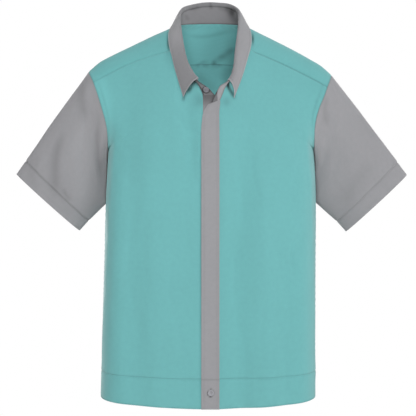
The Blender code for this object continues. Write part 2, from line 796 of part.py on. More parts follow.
def sleeve_panel(side, alongs):
    """Outer face of a sleeve: rings along it, each from its underside up the front and down the back."""
    name = side_name(side)
    front, back = armhole_turns(side)
    turns = np.concatenate([front, back])
    in_front = np.arange(len(turns)) < len(front)
    loop = np.concatenate([armhole_point(front, side, True), armhole_point(back, side, False)])
    seam_x, seam_z = side * SLEEVE_UNDER[name + "_x"], SLEEVE_UNDER[name + "_z"]
    under = np.stack([seam_x, SLEEVE_UNDER["y"], seam_z], axis=1)
    under = follow(SLEEVE_UNDER["along"], under, alongs)[:, None]
    shoulder = armhole_point(math.pi, side, True)
    cuff_top = np.array([side * SLEEVE_TOP_END[name + "_x"][0], 0, SLEEVE_TOP_END[name + "_z"][0]])
    along = alongs[:, None, None]
    top = shoulder + (cuff_top - shoulder) * along
    top[..., 2] += SLEEVE_BOW[side] * np.sin(np.pi * along[..., 0])
    rise = ((1 - np.cos(turns)) / 2)[None, :, None]
    rings = under + (top - under) * rise
    reach = np.where(in_front[None], -follow(SLEEVE_DEPTH["along"], SLEEVE_DEPTH["front"], alongs)[:, None],
                     follow(SLEEVE_DEPTH["along"], SLEEVE_DEPTH["back"], alongs)[:, None])
    rings[..., 1] += reach * np.sin(turns)[None] - sleeve_folds(alongs, turns, in_front) * np.sign(reach)
    straight = loop[0] + (loop[len(front) - 1] - loop[0]) * rise[0]
    bend = (loop - straight)[None] * np.clip(1 - along / SLEEVE_BEND_END, 0, 1) ** 2
    bend[..., 1] = 0
    rings = rings + bend
    beside = body_out(rings[..., 1], rings[..., 2], side)
    clear = SLEEVE_CLEAR * np.clip(alongs / SLEEVE_CLEAR_FROM, 0, 1)[:, None]
    rings[..., 0] = side * np.maximum(np.abs(rings[..., 0]), beside + clear)
    normals = grid_normals(rings, closed=True)
    normals = facing(normals, rings, rings.mean(axis=1, keepdims=True))
    if alongs[0] == 0:
        normals[0] = -np.concatenate([armhole_inward(front, True), armhole_inward(back, False)])
        outward = np.array([side, 0, 0])
        across = outward - normals[0] * (normals[0] @ outward)[:, None]
        rings[0] = loop + unit(across) * SEAM_GAP
    return rings, normals


def sleeve_folds(alongs, turns, in_front):
    """Depth of the soft folds on a sleeve, by place along and round it."""
    round_share = np.where(in_front, turns / (2 * math.pi), 1 - turns / (2 * math.pi))[None]
    along = alongs[:, None]
    total = np.zeros((len(alongs), len(turns)))
    for row in zip(*SLEEVE_FOLDS.values()):
        from_along, from_turn, to_along, to_turn, width, depth = row
        part = (along - from_along) / (to_along - from_along)
        middle = from_turn + (to_turn - from_turn) * part
        bell = np.exp(-((round_share - middle) / width) ** 2)
        total = total + depth * within(part, SLEEVE_FOLD_SPAN) * bell
    return total


def add_sleeve(side):
    rings, normals = sleeve_panel(side, np.linspace(0, 1, SLEEVE_ROWS) ** SLEEVE_CROWDING * SLEEVE_HEM_FROM)
    add_wall("sleeve_" + side_name(side), rings, rings - normals * ONE_PLY, GREY, closed=True)


def add_sleeve_band(side):
    start = SLEEVE_HEM_FROM + SLEEVE_GAP_SHARE
    rings, normals = sleeve_panel(side, np.linspace(start, 1, BAND_ROWS))
    add_wall("sleeve_hem_" + side_name(side), rings, rings - normals * TWO_PLY, GREY, closed=True)


def band_heights():
    """Height in the middle and rise at the sides for each row of the hem bands."""
    heights = np.linspace(BAND_SEAM - SEAM_GAP / 2, HEM, BAND_ROWS)
    return zip(heights, np.linspace(BAND_SEAM_RISE, HEM_RISE, BAND_ROWS))


def add_hem_band_front(side):
    grid = np.stack([front_bottom(side, height, rise) for height, rise in band_heights()])
    normals = upright(facing(grid_normals(grid), grid, np.array([0, 0, (BAND_SEAM + HEM) / 2])))
    normals[:, -1] = (side, 0, 0)
    outer = part_side_seams(grid, ((-1, -2),))
    add_wall("hem_band_front_" + side_name(side), outer, outer - normals * TWO_PLY, TEAL)


def add_hem_band_back():
    grid = np.stack([back_bottom(height, rise) for height, rise in band_heights()])
    normals = facing(grid_normals(grid), grid, np.array([0, 0, (BAND_SEAM + HEM) / 2]))
    normals[:, 0] = (-1, 0, 0)
    normals[:, -1] = (1, 0, 0)
    outer = part_side_seams(grid, ((0, 1), (-1, -2)))
    add_wall("hem_band_back", outer, outer - normals * TWO_PLY, TEAL)


def strip_on_front(left_edge, right_edge, lift):
    """Grid of a strip that lies on the fronts between two edges seen from the front."""
    share = np.linspace(0, 1, PLACKET_COLUMNS)[None, :, None]
    flat = left_edge[:, None] * (1 - share) + right_edge[:, None] * share
    x, z = flat[..., 0], flat[..., 1]
    y = np.where(x < 0, front_y(x, z, -1), front_y(x, z, 1)) - lift
    return np.stack([x, y, z], axis=2)


def add_under_placket():
    heights = np.linspace(HEM, UNDER_PLACKET_TOP, UNDER_PLACKET_ROWS)
    edges = []
    for side, step in ((-1, SEAM_GAP), (1, -SEAM_GAP)):
        x = np.full_like(heights, UNDER_PLACKET_EDGE[side] + step)
        edges.append(np.stack([x, heights], axis=1))
    outer = strip_on_front(*edges, 0)
    inner = outer + np.array([0, ONE_PLY, 0])
    add_wall("under_placket", outer, inner, DARK_GREY)


def add_placket():
    edges = []
    heights = np.linspace(BAND_SEAM, PLACKET_EDGES["height"][0], BODY_ROWS)[:-1]
    for name in ("right", "left"):
        column = PLACKET_EDGES[name + "_x"]
        lower = np.stack([np.full_like(heights, column[0]), heights], axis=1)
        upper_z = PLACKET_EDGES[name + "_z"]
        upper = np.stack([column, upper_z], axis=1)
        edges.append(np.concatenate([lower, upper]))
    outer = strip_on_front(*edges, PLACKET_LIFT + TWO_PLY)
    inner = outer + np.array([0, TWO_PLY, 0])
    add_wall("placket", outer, inner, GREY)


def add_hem_tab():
    heights = np.linspace(HEM, BAND_SEAM - SEAM_GAP, BAND_ROWS)
    edges = [np.stack([np.full_like(heights, PLACKET_EDGES[name + "_x"][0]), heights], axis=1)
             for name in ("right", "left")]
    outer = strip_on_front(*edges, PLACKET_LIFT + TWO_PLY)
    add_wall("hem_tab", outer, outer + np.array([0, TWO_PLY, 0]), GREY)


def collar_frame(rows):
    """Neck seam, roll line and the collar's own up and outward directions at some rows."""
    count = np.arange(len(ROLL_LINE["x"]))
    roll = np.stack([ROLL_LINE[axis] for axis in "xyz"], axis=1)
    top = follow(count, roll, rows)
    seam = follow(count, neck_curve(), rows)
    tangent = unit(np.gradient(top, axis=0))
    rise = top - seam
    rise = rise - tangent * np.sum(rise * tangent, axis=1, keepdims=True) * COLLAR_LEAN
    up = unit(rise)
    outward = unit(np.cross(up, tangent))
    return seam, top, up, outward


def leaf_rise(rows):
    """How far the leaf stands above its seam with the stand, inside the neck."""
    middle = (LEAF_FIRST_ROW + LEAF_LAST_ROW) / 2
    reach = np.abs(rows - middle) / (LEAF_LAST_ROW - middle)
    return LEAF_RISE["back"] + (LEAF_RISE["front"] - LEAF_RISE["back"]) * fade(reach, *LEAF_RISE_CHANGE)


def stand_faces(rows):
    """Outer and inner face of the collar stand at some rows, from its seam up to the leaf."""
    seam, top, up, outward = collar_frame(rows)
    first, last = LEAF_FIRST_ROW, LEAF_LAST_ROW
    under_leaf = fade(rows, first - 1, first) * (1 - fade(rows, last, last + 1))
    top = top - up * ((leaf_rise(rows) + SEAM_GAP) * under_leaf)[:, None]
    foot = seam + up * SEAM_GAP * 2
    share = np.linspace(0, 1, STAND_LINES)[:, None, None]
    inner = foot[None] * (1 - share) + top[None] * share
    return inner + outward[None] * TWO_PLY, inner


def add_collar_stand():
    last = len(NECK_SEAM["x"]) - 1
    outer, inner = stand_faces(np.linspace(0, last, last * COLLAR_STEPS + 1))
    add_wall("collar_stand", outer, inner, GREY)


def leaf_edge_curve(rows):
    edge = np.stack([LEAF_EDGE[axis] for axis in "xyz"], axis=1)
    edge = on_fronts(edge, LEAF_EDGE["on_front"], LEAF_CLEAR)
    return follow(np.arange(len(edge)), edge, rows - LEAF_FIRST_ROW)


def leaf_panel():
    """Visible face of the leaf: up inside the neck, over the roll and down to its free edge."""
    last = LEAF_LAST_ROW - LEAF_FIRST_ROW
    rows = np.linspace(LEAF_FIRST_ROW, LEAF_LAST_ROW, last * COLLAR_STEPS + 1)
    _, top, up, outward = collar_frame(rows)
    lines = [top - up * leaf_rise(rows)[:, None]]
    centre = top + (outward - up) * ROLL_RADIUS
    for angle in np.radians(ROLL_ANGLES):
        lines.append(centre + (outward * math.cos(angle) + up * math.sin(angle)) * ROLL_RADIUS)
    start = lines[-1]
    edge = leaf_edge_curve(rows)
    columns = np.arange(len(rows))
    arch = LEAF_ARCH[-1] * np.clip(1 - columns / LEAF_ARCH_COLUMNS, 0, 1)
    arch = arch - LEAF_ARCH[1] * np.clip(1 - columns[::-1] / LEAF_ARCH_COLUMNS, 0, 1)
    along = unit(np.gradient(edge, axis=0))
    forward = np.abs(np.linspace(-1, 1, len(rows)))
    swell = follow(LEAF_SWELL["turn"], LEAF_SWELL["swell"], forward)[:, None]
    for share in LEAF_SHARES:
        bulge = swell * math.sin(math.pi * share) * outward
        arched = along * (arch * math.sin(math.pi * share**LEAF_ARCH_PEAK))[:, None]
        lines.append(start * (1 - share) + edge * share + bulge + arched)
    return np.stack(lines)


def add_collar_leaf():
    grid = leaf_panel()
    normals = grid_normals(grid)
    middle = grid.shape[1] // 2
    if normals[-1, middle, 1] < 0:
        normals = -normals
    add_wall("collar_leaf", grid, grid - normals * TWO_PLY, GREY)


def button_blank():
    """Dished disc in the XY plane with its back on the plane, before the holes are cut."""
    profile = (
        (0, 0),
        (BUTTON_RADIUS - BUTTON_EDGE, 0),
        (BUTTON_RADIUS, BUTTON_EDGE),
        (BUTTON_RADIUS, BUTTON_THICK - BUTTON_EDGE),
        (BUTTON_RADIUS - BUTTON_EDGE, BUTTON_THICK),
        (BUTTON_RADIUS - BUTTON_RIM, BUTTON_THICK),
        (BUTTON_RADIUS - BUTTON_RIM - BUTTON_DISH, BUTTON_THICK - BUTTON_DISH),
        (0, BUTTON_THICK - BUTTON_DISH),
    )
    blank = bmesh.new()
    line = [blank.verts.new((out, 0, height)) for out, height in profile]
    edges = [blank.edges.new(pair) for pair in zip(line, line[1:])]
    bmesh.ops.spin(blank, geom=line + edges, axis=(0, 0, 1), cent=(0, 0, 0),
                   steps=BUTTON_SIDES, angle=2 * math.pi)
    bmesh.ops.remove_doubles(blank, verts=blank.verts, dist=MERGE)
    return blank


def hole_cutters():
    """Four round rods through the button."""
    rods = bmesh.new()
    for quarter in range(4):
        angle = (quarter + 0.5) * math.pi / 2
        out = Vector((math.cos(angle), math.sin(angle), 0)) * BUTTON_HOLE_OUT
        place = Matrix.Translation(out)
        bmesh.ops.create_cone(rods, cap_ends=True, segments=HOLE_SIDES, radius1=BUTTON_HOLE_RADIUS,
                              radius2=BUTTON_HOLE_RADIUS, depth=4 * BUTTON_THICK, matrix=place)
    return rods


def bored_button():
    """Mesh of a button with its four holes, in millimetres."""
    pieces = []
    for name, shape in (("button_blank", button_blank()), ("button_holes", hole_cutters())):
        bmesh.ops.recalc_face_normals(shape, faces=shape.faces)
        mesh = bpy.data.meshes.new(name)
        shape.to_mesh(mesh)
        shape.free()
        piece = bpy.data.objects.new(name, mesh)
        bpy.context.scene.collection.objects.link(piece)
        pieces.append(piece)
    blank, cutter = pieces
    cut = blank.modifiers.new("holes", "BOOLEAN")
    cut.operation = "DIFFERENCE"
    cut.solver = "EXACT"
    cut.object = cutter
    bored = bpy.data.meshes.new_from_object(blank.evaluated_get(bpy.context.evaluated_depsgraph_get()))
    for piece in pieces:
        bpy.data.objects.remove(piece, do_unlink=True)
    return bored


def add_button(name, centre, outward, upward):
    """Button whose back lies just off the cloth at a centre, facing outward."""
    front = Vector(outward).normalized()
    across = Vector(upward).cross(front).normalized()
    turned = Matrix((across, front.cross(across), front)).transposed().to_4x4()
    place = Matrix.Translation(Vector(centre) + front * BUTTON_LIFT) @ turned

    def fill(shape):
        shape.from_mesh(bored_button())
        bmesh.ops.transform(shape, matrix=place, verts=shape.verts)

    add_solid(name, fill, GREY, BUTTON_SMOOTH_ANGLE)


def add_hem_button():
    x, z = HEM_BUTTON["x"], HEM_BUTTON["z"]
    heights = np.array([z - BUTTON_RADIUS, z, z + BUTTON_RADIUS])
    depths = front_y(np.full(3, x), heights, 1) - PLACKET_LIFT - TWO_PLY
    slope = (depths[2] - depths[0]) / (2 * BUTTON_RADIUS)
    add_button("hem_button", (x, depths[1], z), (0, -1, slope), (0, 0, 1))


def add_stand_button():
    row, step = STAND_BUTTON["row"], STAND_BUTTON["step"]
    outer, _ = stand_faces(np.array([row - step, row, row + step]))
    foot, top = outer[0], outer[-1]
    face = foot + (top - foot) * STAND_BUTTON["share"]
    rise = top[1] - foot[1]
    outward = np.cross(rise, face[2] - face[0])
    add_button("stand_button", face[1], outward * np.sign(-outward[1]), rise)


def remove_scene_objects():
    for old in list(bpy.data.objects):
        bpy.data.objects.remove(old, do_unlink=True)


def main():
    remove_scene_objects()
    for side in (-1, 1):
        add_front(side)
        add_sleeve(side)
        add_sleeve_band(side)
        add_hem_band_front(side)
    add_back()
    add_yoke()
    add_hem_band_back()
    add_under_placket()
    add_placket()
    add_hem_tab()
    add_collar_stand()
    add_collar_leaf()
    add_hem_button()
    add_stand_button()


if __name__ == "__main__":
    main()
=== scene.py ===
"""Looks of a short-sleeved button-front shirt, hollow and filled out as it is worn.

Each cut piece of cloth is a thin shell on the face of its solid, with creases, puckers, folded
edges and rows of stitches. Sizes are in millimetres and become metres where the meshes are made.
+X is the wearer's left, -Y is the front and +Z is up; "right" and "left" are the wearer's.
"""

import math

import bmesh
import bpy
import numpy as np
from bpy.props import FloatProperty, FloatVectorProperty, PointerProperty
from mathutils import Matrix, Vector


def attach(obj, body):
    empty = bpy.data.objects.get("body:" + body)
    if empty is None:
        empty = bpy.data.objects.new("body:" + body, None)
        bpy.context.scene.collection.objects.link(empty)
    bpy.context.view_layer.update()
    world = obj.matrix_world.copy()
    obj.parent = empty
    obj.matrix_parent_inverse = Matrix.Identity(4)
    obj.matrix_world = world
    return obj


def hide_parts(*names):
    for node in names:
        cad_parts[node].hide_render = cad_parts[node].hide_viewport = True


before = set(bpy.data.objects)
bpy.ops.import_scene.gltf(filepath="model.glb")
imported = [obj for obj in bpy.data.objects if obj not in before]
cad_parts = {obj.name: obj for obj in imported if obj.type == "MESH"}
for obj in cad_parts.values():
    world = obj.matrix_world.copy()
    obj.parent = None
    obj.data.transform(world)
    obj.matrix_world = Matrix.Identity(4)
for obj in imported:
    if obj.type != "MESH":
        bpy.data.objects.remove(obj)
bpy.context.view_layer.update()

bl_info = {
    "name": "Short-sleeved shirt",
    "version": (1, 0, 0),
    "blender": (4, 5, 0),
    "location": "3D View > Sidebar > Shirt",
    "description": "Dresses the solids of a short-sleeved shirt as sewn cloth",
    "category": "Object",
}

METRE = 0.001
BODY = "root"

# Cloth and seams
TWO_PLY = 2.0
SEAM_GAP = 0.3

# Heights. Hem and band seam rise a little from the middle to the sides
HEM = -748.0
HEM_RISE = 13.5
BAND_SEAM = -691.0
BAND_SEAM_RISE = 8.0
HEM_BOW = 1.7
UNDERARM = -245.0
CHEST_MIDDLE = np.array([0, 0, -300.0])

# Front closing: the under placket fills the gap between the fronts, the placket lies over it
UNDER_PLACKET_EDGE = {-1: -14.3, 1: 15.3}
UNDER_PLACKET_TOP = -144.6
PLACKET_LIFT = 0.8
PLACKET_COLUMNS = 5

# Armhole loop: reach in front of and behind the shoulder line
ARMHOLE_FRONT = 60.0
ARMHOLE_BACK = 70.0

# How square the sections are: at the side seams, across the chest and across the shoulder blades.
# Above and below the underarm one section changes into the other
SIDE_SQUARENESS = 7.0
SIDE_ROUNDING = 0.5
CHEST_SQUARENESS = 9.0
BLADE_SQUARENESS = 3.6
UNDERARM_SOFTNESS = 0.6
SECTION_CHANGE = {"below": 50.0, "above": 90.0}
CHEST_DEPTH = 112.0

# Yoke: turns of the armhole loop where its front and back seams end, and the bow of its seams
YOKE_FRONT_TURN = {-1: math.radians(132), 1: math.radians(130)}
YOKE_BACK_TURN = math.radians(124)
YOKE_SEAM_RISE = {-1: 9.5, 1: 4.0}
BACK_SEAM_HEIGHT = -64.0
BACK_SEAM_BOW = 2.2
# Rows of the neck seam at the yoke's front seams, its ridges and the corners of the back
NECK_JOIN = {-1: 6, 1: 17}
NECK_RIDGE = {-1: 7.7, 1: 15.3}
NECK_BACK = {-1: 9.2, 1: 13.8}
YOKE_BULGE = 22.0
YOKE_SOFTENING = 4
# Shape of the bulge from neck to border, and how it changes from the back (0) to the fronts (1)
YOKE_HUMP = {"neck": 0.7, "back": 0.8, "front": 0.22}
YOKE_HUMP_CHANGE = (0.45, 0.75)
YOKE_HUMP_END = (0.8, 1.0)

# Buttons: four holes in a dished face
BUTTON_RADIUS = 5.8
BUTTON_THICK = 2.6
BUTTON_DISH = 0.9
BUTTON_RIM = 1.5
BUTTON_EDGE = 0.5
BUTTON_HOLE_RADIUS = 0.85
BUTTON_HOLE_OUT = 1.9
BUTTON_LIFT = 0.5
HEM_BUTTON = {"x": 1.0, "z": -716.6}
STAND_BUTTON = {"row": 0.75, "share": 0.5, "step": 0.2}

# Grid densities
NECK_COLUMNS = 6
YOKE_COLUMNS = 8
BACK_COLUMNS = 22
BODY_ROWS = 13
ARMHOLE_ROWS = 9
YOKE_TURNS = 5
UNDER_PLACKET_ROWS = 18
BAND_ROWS = 3
COLLAR_STEPS = 2
BUTTON_SIDES = 24
HOLE_SIDES = 10
MERGE = 0.0001
BUTTON_SMOOTH_ANGLE = math.radians(30)

# Places across the back, from side to side, closer together where it rounds
BACK_SPREAD = np.sin(np.linspace(-0.5, 0.5, BACK_COLUMNS + 1) * math.pi)
EDGES = ("foot", "top", "inner", "outer")


def table(names, rows):
    """Rows of sizes as columns that can be asked for by name."""
    return {name: np.array(column, float) for name, column in zip(names.split(), zip(*rows))}


def places_of(rows):
    return np.stack([rows[axis] for axis in "xyz"], axis=1)


# Shoulder line seen from the front: height of the ridge at each distance out from the middle
RIDGE = table("out right left", (
    (0, 28, 28), (40, 17, 17), (76, 1, 0), (105, -12, -15),
    (150, -34, -39), (187, -53, -58), (205, -62, -67), (222, -72, -80),
    (234, -80, -88.5), (243, -87.5, -95.5),
))

# Armhole seam, seen from the front: how far out it runs at each height
ARMHOLE = table("height right left", (
    (-247, 204, 207), (-226, 202.5, 205.7), (-197, 204.5, 206), (-168, 212, 212.5),
    (-143, 219.5, 223), (-124, 226, 230), (-105, 234, 238), (-92, 241, 243),
))

# Side seams below the armhole
SIDE = table("height right left", (
    (-747, 219, 210), (-691, 217.5, 210), (-560, 214.5, 210.5), (-450, 211.5, 211),
    (-352, 209, 211.5), (-290, 206, 210), (-245, 204, 207),
))

# Edges of the placket near its top, seen from the front: the last row is its slanted top edge
PLACKET_EDGES = table("height right_x right_z left_x left_z", (
    (-215, -16.8, -215, 17.0, -215),
    (-200, -16.2, -200, 16.8, -197),
    (-180, -13.6, -179, 16.8, -176),
    (-165, -8.0, -167, 18.4, -159),
    (-155, -4.0, -161, 18.2, -152.6),
))

# How far the cloth stands forward of the shoulder line, by the drop below it
FRONT_PROFILE = table("drop depth", (
    (-30, 0), (0, 2), (10, 15), (25, 28),
    (54, 46), (80, 60), (110, 74), (150, 91),
    (200, 106), (250, 115), (320, 120), (450, 118),
    (600, 115), (800, 114),
))

# How far the back stands behind the middle, by height
BACK_PROFILE = table("height depth", (
    (-747, 108), (-691, 108), (-560, 106), (-440, 108),
    (-330, 114), (-230, 118), (-160, 115), (-110, 108),
    (-64, 100), (-20, 90),
))

# Soft folds: the shares of its length where a fold starts, is full, wanes and ends, and the strip
# beside the middle of the front that the folds leave free for the placket
FOLD_SPAN = (-0.12, 0.25, 0.75, 1.12)
SLEEVE_FOLD_SPAN = (-0.1, 0.3, 0.7, 1.1)
FOLD_FREE = (20, 34)

# Folds of the fronts: top and foot of each trough (a ridge where the depth is negative)
FRONT_FOLDS = table("top_x top_z foot_x foot_z width depth", (
    (-160, -120, -141, -800, 24, 10.5),
    (-58, -60, -27, -330, 15, 7.5),
    (62, -205, 66, -395, 20, 8.5),
    (112, -190, 112, -480, 34, -4.0),
    (37, -310, 40, -440, 13, -5.0),
    (50, -340, 56, -830, 25, 9.5),
    (104, -380, 108, -820, 22, -4.0),
    (144, -420, 146, -800, 19, 6.0),
    (166, -404, 150, -500, 9, 3.2),
    (-96, -360, -90, -760, 26, -2.6),
    (-150, -96, -152, -150, 14, 1.8),
))

# Folds of the back
BACK_FOLDS = table("top_x top_z foot_x foot_z width depth", (
    (-95, -110, -70, -560, 20, 4.0),
    (88, -105, 72, -520, 19, 4.0),
    (-20, -300, -34, -690, 18, 2.6),
    (30, -330, 44, -690, 20, 2.4),
    (-150, -260, -130, -640, 18, 3.0),
    (148, -240, 134, -600, 18, 3.0),
    (0, -90, 4, -300, 16, 2.4),
))

# Seam of collar and body, from the wearer's right front end round the back to the left end.
# In the rows that lie on the fronts the depth is read from the fronts instead.
NECK_SEAM = table("x y z on_front", (
    (-14.3, 0, -143, 1), (-19, 0, -131, 1), (-26.5, 0, -118, 1), (-39, 0, -105, 1),
    (-52, 0, -90, 1), (-63, 0, -71, 1), (-70, 0, -50, 1), (-72.5, -14, -13, 0),
    (-71, 13, 3, 0), (-62, 40, 9, 0), (-42, 60, 13, 0), (-15, 69, 15, 0),
    (15, 69, 15, 0), (42, 60, 13, 0), (62, 40, 9, 0), (71, 13, 3, 0),
    (72.5, -14, -13, 0), (71, 0, -47, 1), (65, 0, -70, 1), (56, 0, -92, 1),
    (46, 0, -106, 1), (34.5, 0, -116, 1), (27.5, 0, -129, 1), (22.5, 0, -143, 1),
    (18.5, 0, -152, 1),
))

# Fold line along the top of the collar, row for row with the neck seam
ROLL_LINE = table("x y z", (
    (8.2, -93, -143), (-4, -89, -129), (-22.5, -86, -109), (-33, -80, -93),
    (-42, -72, -74), (-47.5, -60, -54), (-52.5, -40, -27), (-56.5, -14, 2),
    (-57, 14, 27.5), (-50.5, 40, 44.5), (-38.5, 54, 52), (-14, 61.5, 58),
    (14, 62, 58.5), (37.5, 53.5, 54), (47.5, 42, 45.5), (53.5, 18, 32),
    (54, -12, 4), (50.5, -38, -26), (47, -58, -54), (44, -74, -80),
    (40.5, -84, -97), (33.5, -95, -111), (19.5, -98, -124), (10.4, -102, -140),
    (2.3, -106.5, -157),
))

# Free edge of the collar leaf, between the leaf points
LEAF_EDGE = table("x y z on_front", (
    (-52.6, 0, -144, 1), (-61, 0, -117, 1), (-69.5, 0, -88, 1), (-76, 0, -61, 1),
    (-81.5, 0, -38, 1), (-83, -14, -13, 0), (-78.5, 14, 3.5, 0), (-71, 43, 9.5, 0),
    (-52, 77, 9, 0), (-18, 93, 8, 0), (18, 93, 8, 0), (52, 78, 9, 0),
    (71, 44, 9.5, 0), (77, 14, 4, 0), (81.5, -14, -13, 0), (81, 0, -38, 1),
    (75, 0, -62, 1), (66.5, 0, -92, 1), (57, 0, -120, 1), (46.4, 0, -147, 1),
))
ROLL_RADIUS = 3.4
STAND_LINES = 4
LEAF_FIRST_ROW = 2
LEAF_LAST_ROW = 21
LEAF_CLEAR = 3.6
LEAF_RISE = {"back": 8.0, "front": 5.0}
LEAF_RISE_CHANGE = (0.45, 0.95)
LEAF_SHARES = (0.16, 0.34, 0.55, 0.78, 1.0)
ROLL_ANGLES = (180, 135, 90, 45, 0)
COLLAR_LEAN = 0.5
LEAF_ARCH = {-1: 3.4, 1: 1.8}
LEAF_ARCH_COLUMNS = 4
LEAF_ARCH_PEAK = 0.7

# How far the leaf swells out between roll and edge: 0 is the middle of the back, 1 the leaf points
LEAF_SWELL = table("turn swell", (
    (0, 4), (0.22, 2), (0.42, 0.3), (0.62, 3),
    (1, 3),
))

# Sleeve underside from the underarm to the cuff: the top edge runs straight from the shoulder point
SLEEVE_UNDER = table("along right_x right_z left_x left_z y", (
    (0.00, 204, -247, 207, -247, 0),
    (0.12, 204, -266, 207, -265, 14),
    (0.30, 203, -296, 206, -294, 31),
    (0.45, 204, -322, 207, -320, 37),
    (0.60, 207, -346, 210, -344, 38),
    (0.75, 223, -364, 228, -363, 37),
    (0.88, 246, -387, 256, -388, 37),
    (1.00, 264, -406, 274, -408, 36),
))
SLEEVE_TOP_END = table("right_x right_z left_x left_z", ((386.5, -293, 393, -294),))
SLEEVE_BOW = {-1: 3.0, 1: 1.8}
SLEEVE_HEM_FROM = 0.878
SLEEVE_GAP_SHARE = 0.0015
SLEEVE_CLEAR = 2.4
SLEEVE_CLEAR_FROM = 0.08
SLEEVE_BEND_END = 0.6
SLEEVE_CROWDING = 1.15
SLEEVE_DEPTH = table("along front back", (
    (0.0, ARMHOLE_FRONT, ARMHOLE_BACK),
    (0.3, 50, 54),
    (0.7, 42, 46),
    (1.0, 37, 40),
))

# Folds of each sleeve: where along and how far round (0 under, 0.5 top, front half first)
SLEEVE_FOLDS = table("from_along from_turn to_along to_turn width depth", (
    (0.05, 0.33, 0.42, 0.14, 0.045, 3.0),
    (0.30, 0.27, 0.80, 0.16, 0.040, 2.2),
    (0.08, 0.70, 0.55, 0.86, 0.050, 3.0),
    (0.35, 0.62, 0.85, 0.76, 0.045, 2.0),
))


def follow(params, values, at):
    """Smooth curve through the values, without overshoot at the ends."""
    params = np.asarray(params, float)
    values = np.asarray(values, float)
    at = np.clip(np.asarray(at, float), params[0], params[-1])
    steps = np.diff(params)
    shape = (-1,) + (1,) * (values.ndim - 1)
    slopes = np.diff(values, axis=0) / steps.reshape(shape)
    tangents = np.empty_like(values)
    tangents[0] = slopes[0]
    tangents[-1] = slopes[-1]
    before = steps[:-1].reshape(shape)
    after = steps[1:].reshape(shape)
    tangents[1:-1] = (slopes[:-1] * after + slopes[1:] * before) / (before + after)
    index = np.clip(np.searchsorted(params, at, side="right") - 1, 0, len(steps) - 1)
    local_shape = at.shape + (1,) * (values.ndim - 1)
    step = steps[index].reshape(local_shape)
    part = ((at - params[index]) / steps[index]).reshape(local_shape)
    start = (2 * part**3 - 3 * part**2 + 1) * values[index]
    start_pull = (part**3 - 2 * part**2 + part) * step * tangents[index]
    end = (3 * part**2 - 2 * part**3) * values[index + 1]
    end_pull = (part**3 - part**2) * step * tangents[index + 1]
    return start + start_pull + end + end_pull


def side_name(side):
    return "right" if side < 0 else "left"


def unit(vectors):
    return vectors / np.linalg.norm(vectors, axis=-1, keepdims=True)


def fade(value, start, end):
    """0 below start, 1 above end, soft between."""
    part = np.clip((value - start) / (end - start), 0, 1)
    return part * part * (3 - 2 * part)


def within(part, span):
    """1 in the middle of a span of four stops, 0 outside it, soft at both ends."""
    start, full, wane, end = span
    return fade(part, start, full) * (1 - fade(part, wane, end))


def bell(value, width):
    """1 at zero, soft to 0 on both sides."""
    return np.exp(-((value / width) ** 2))


def ridge_height(out, side):
    return follow(RIDGE["out"], RIDGE[side_name(side)], out)


def edge_out(height, side):
    """Distance out to the side seam or, above the underarm, to the armhole."""
    seam = follow(SIDE["height"], SIDE[side_name(side)], height)
    armhole = follow(ARMHOLE["height"], ARMHOLE[side_name(side)], height)
    return np.where(height < UNDERARM, seam, armhole)


def armhole_top(side):
    return RIDGE[side_name(side)][-1]


def armhole_reach(height, side, reach, softness):
    """How far the armhole loop stands off the shoulder line at a height, softened at the underarm."""
    part = (height - UNDERARM) / (armhole_top(side) - UNDERARM)
    part = np.clip((part + np.sqrt(part**2 + softness**2)) / 2, 0, 1)
    return reach * 2 * np.sqrt(part * (1 - part))


def fold_depth(x, z, folds):
    """Summed depth of the soft troughs that pass a point of the front view."""
    total = np.zeros(np.broadcast(x, z).shape)
    for row in zip(*folds.values()):
        top_x, top_z, foot_x, foot_z, width, depth = row
        along = (top_z - z) / (top_z - foot_z)
        middle = top_x + (foot_x - top_x) * along
        total = total + depth * within(along, FOLD_SPAN) * bell(x - middle, width)
    return total


def side_share(x, z, side):
    """0 at the middle, 1 at the side seam or armhole."""
    return np.clip(np.abs(x) / edge_out(z, side), 0, 1)


def round_into_side(depth, x, z, side, reach, squareness):
    """Let the depth of a panel run out at the side seam and, above it, into the armhole loop."""
    share = side_share(x, z, side)
    upper = fade(z, UNDERARM - SECTION_CHANGE["below"], UNDERARM + SECTION_CHANGE["above"])
    power = SIDE_SQUARENESS + (squareness - SIDE_SQUARENESS) * upper
    rounding = SIDE_ROUNDING + (1 - SIDE_ROUNDING) * upper
    level = z + ridge_height(edge_out(z, side), side) - ridge_height(np.abs(x), side)
    loop = armhole_reach(level, side, reach, UNDERARM_SOFTNESS * (1 - share))
    return loop + (depth - loop) * (1 - share**power) ** rounding


def front_y(x, z, side):
    """Depth of the outer face of the fronts at a point of the front view."""
    drop = ridge_height(np.abs(x), side) - z
    depth = follow(FRONT_PROFILE["drop"], FRONT_PROFILE["depth"], drop)
    depth = depth - fold_depth(x, z, FRONT_FOLDS) * fade(np.abs(x), *FOLD_FREE)
    return -round_into_side(depth, x, z, side, ARMHOLE_FRONT, CHEST_SQUARENESS)


def back_y(x, z, side):
    """Depth of the outer face of the back."""
    depth = follow(BACK_PROFILE["height"], BACK_PROFILE["depth"], z)
    depth = depth - fold_depth(x, z, BACK_FOLDS)
    return round_into_side(depth, x, z, side, ARMHOLE_BACK, BLADE_SQUARENESS)


def on_both_sides(depth_at, x, z):
    """Depth of the fronts or of the back at points on both sides of the middle."""
    return np.where(x < 0, depth_at(x, z, -1), depth_at(x, z, 1))


def body_out(y, z, side):
    """Distance out to the body beside a point at some depth and height."""
    part = np.clip(np.abs(y) / CHEST_DEPTH, 0, 1) ** (1 / SIDE_ROUNDING)
    return edge_out(z, side) * (1 - part) ** (1 / SIDE_SQUARENESS)


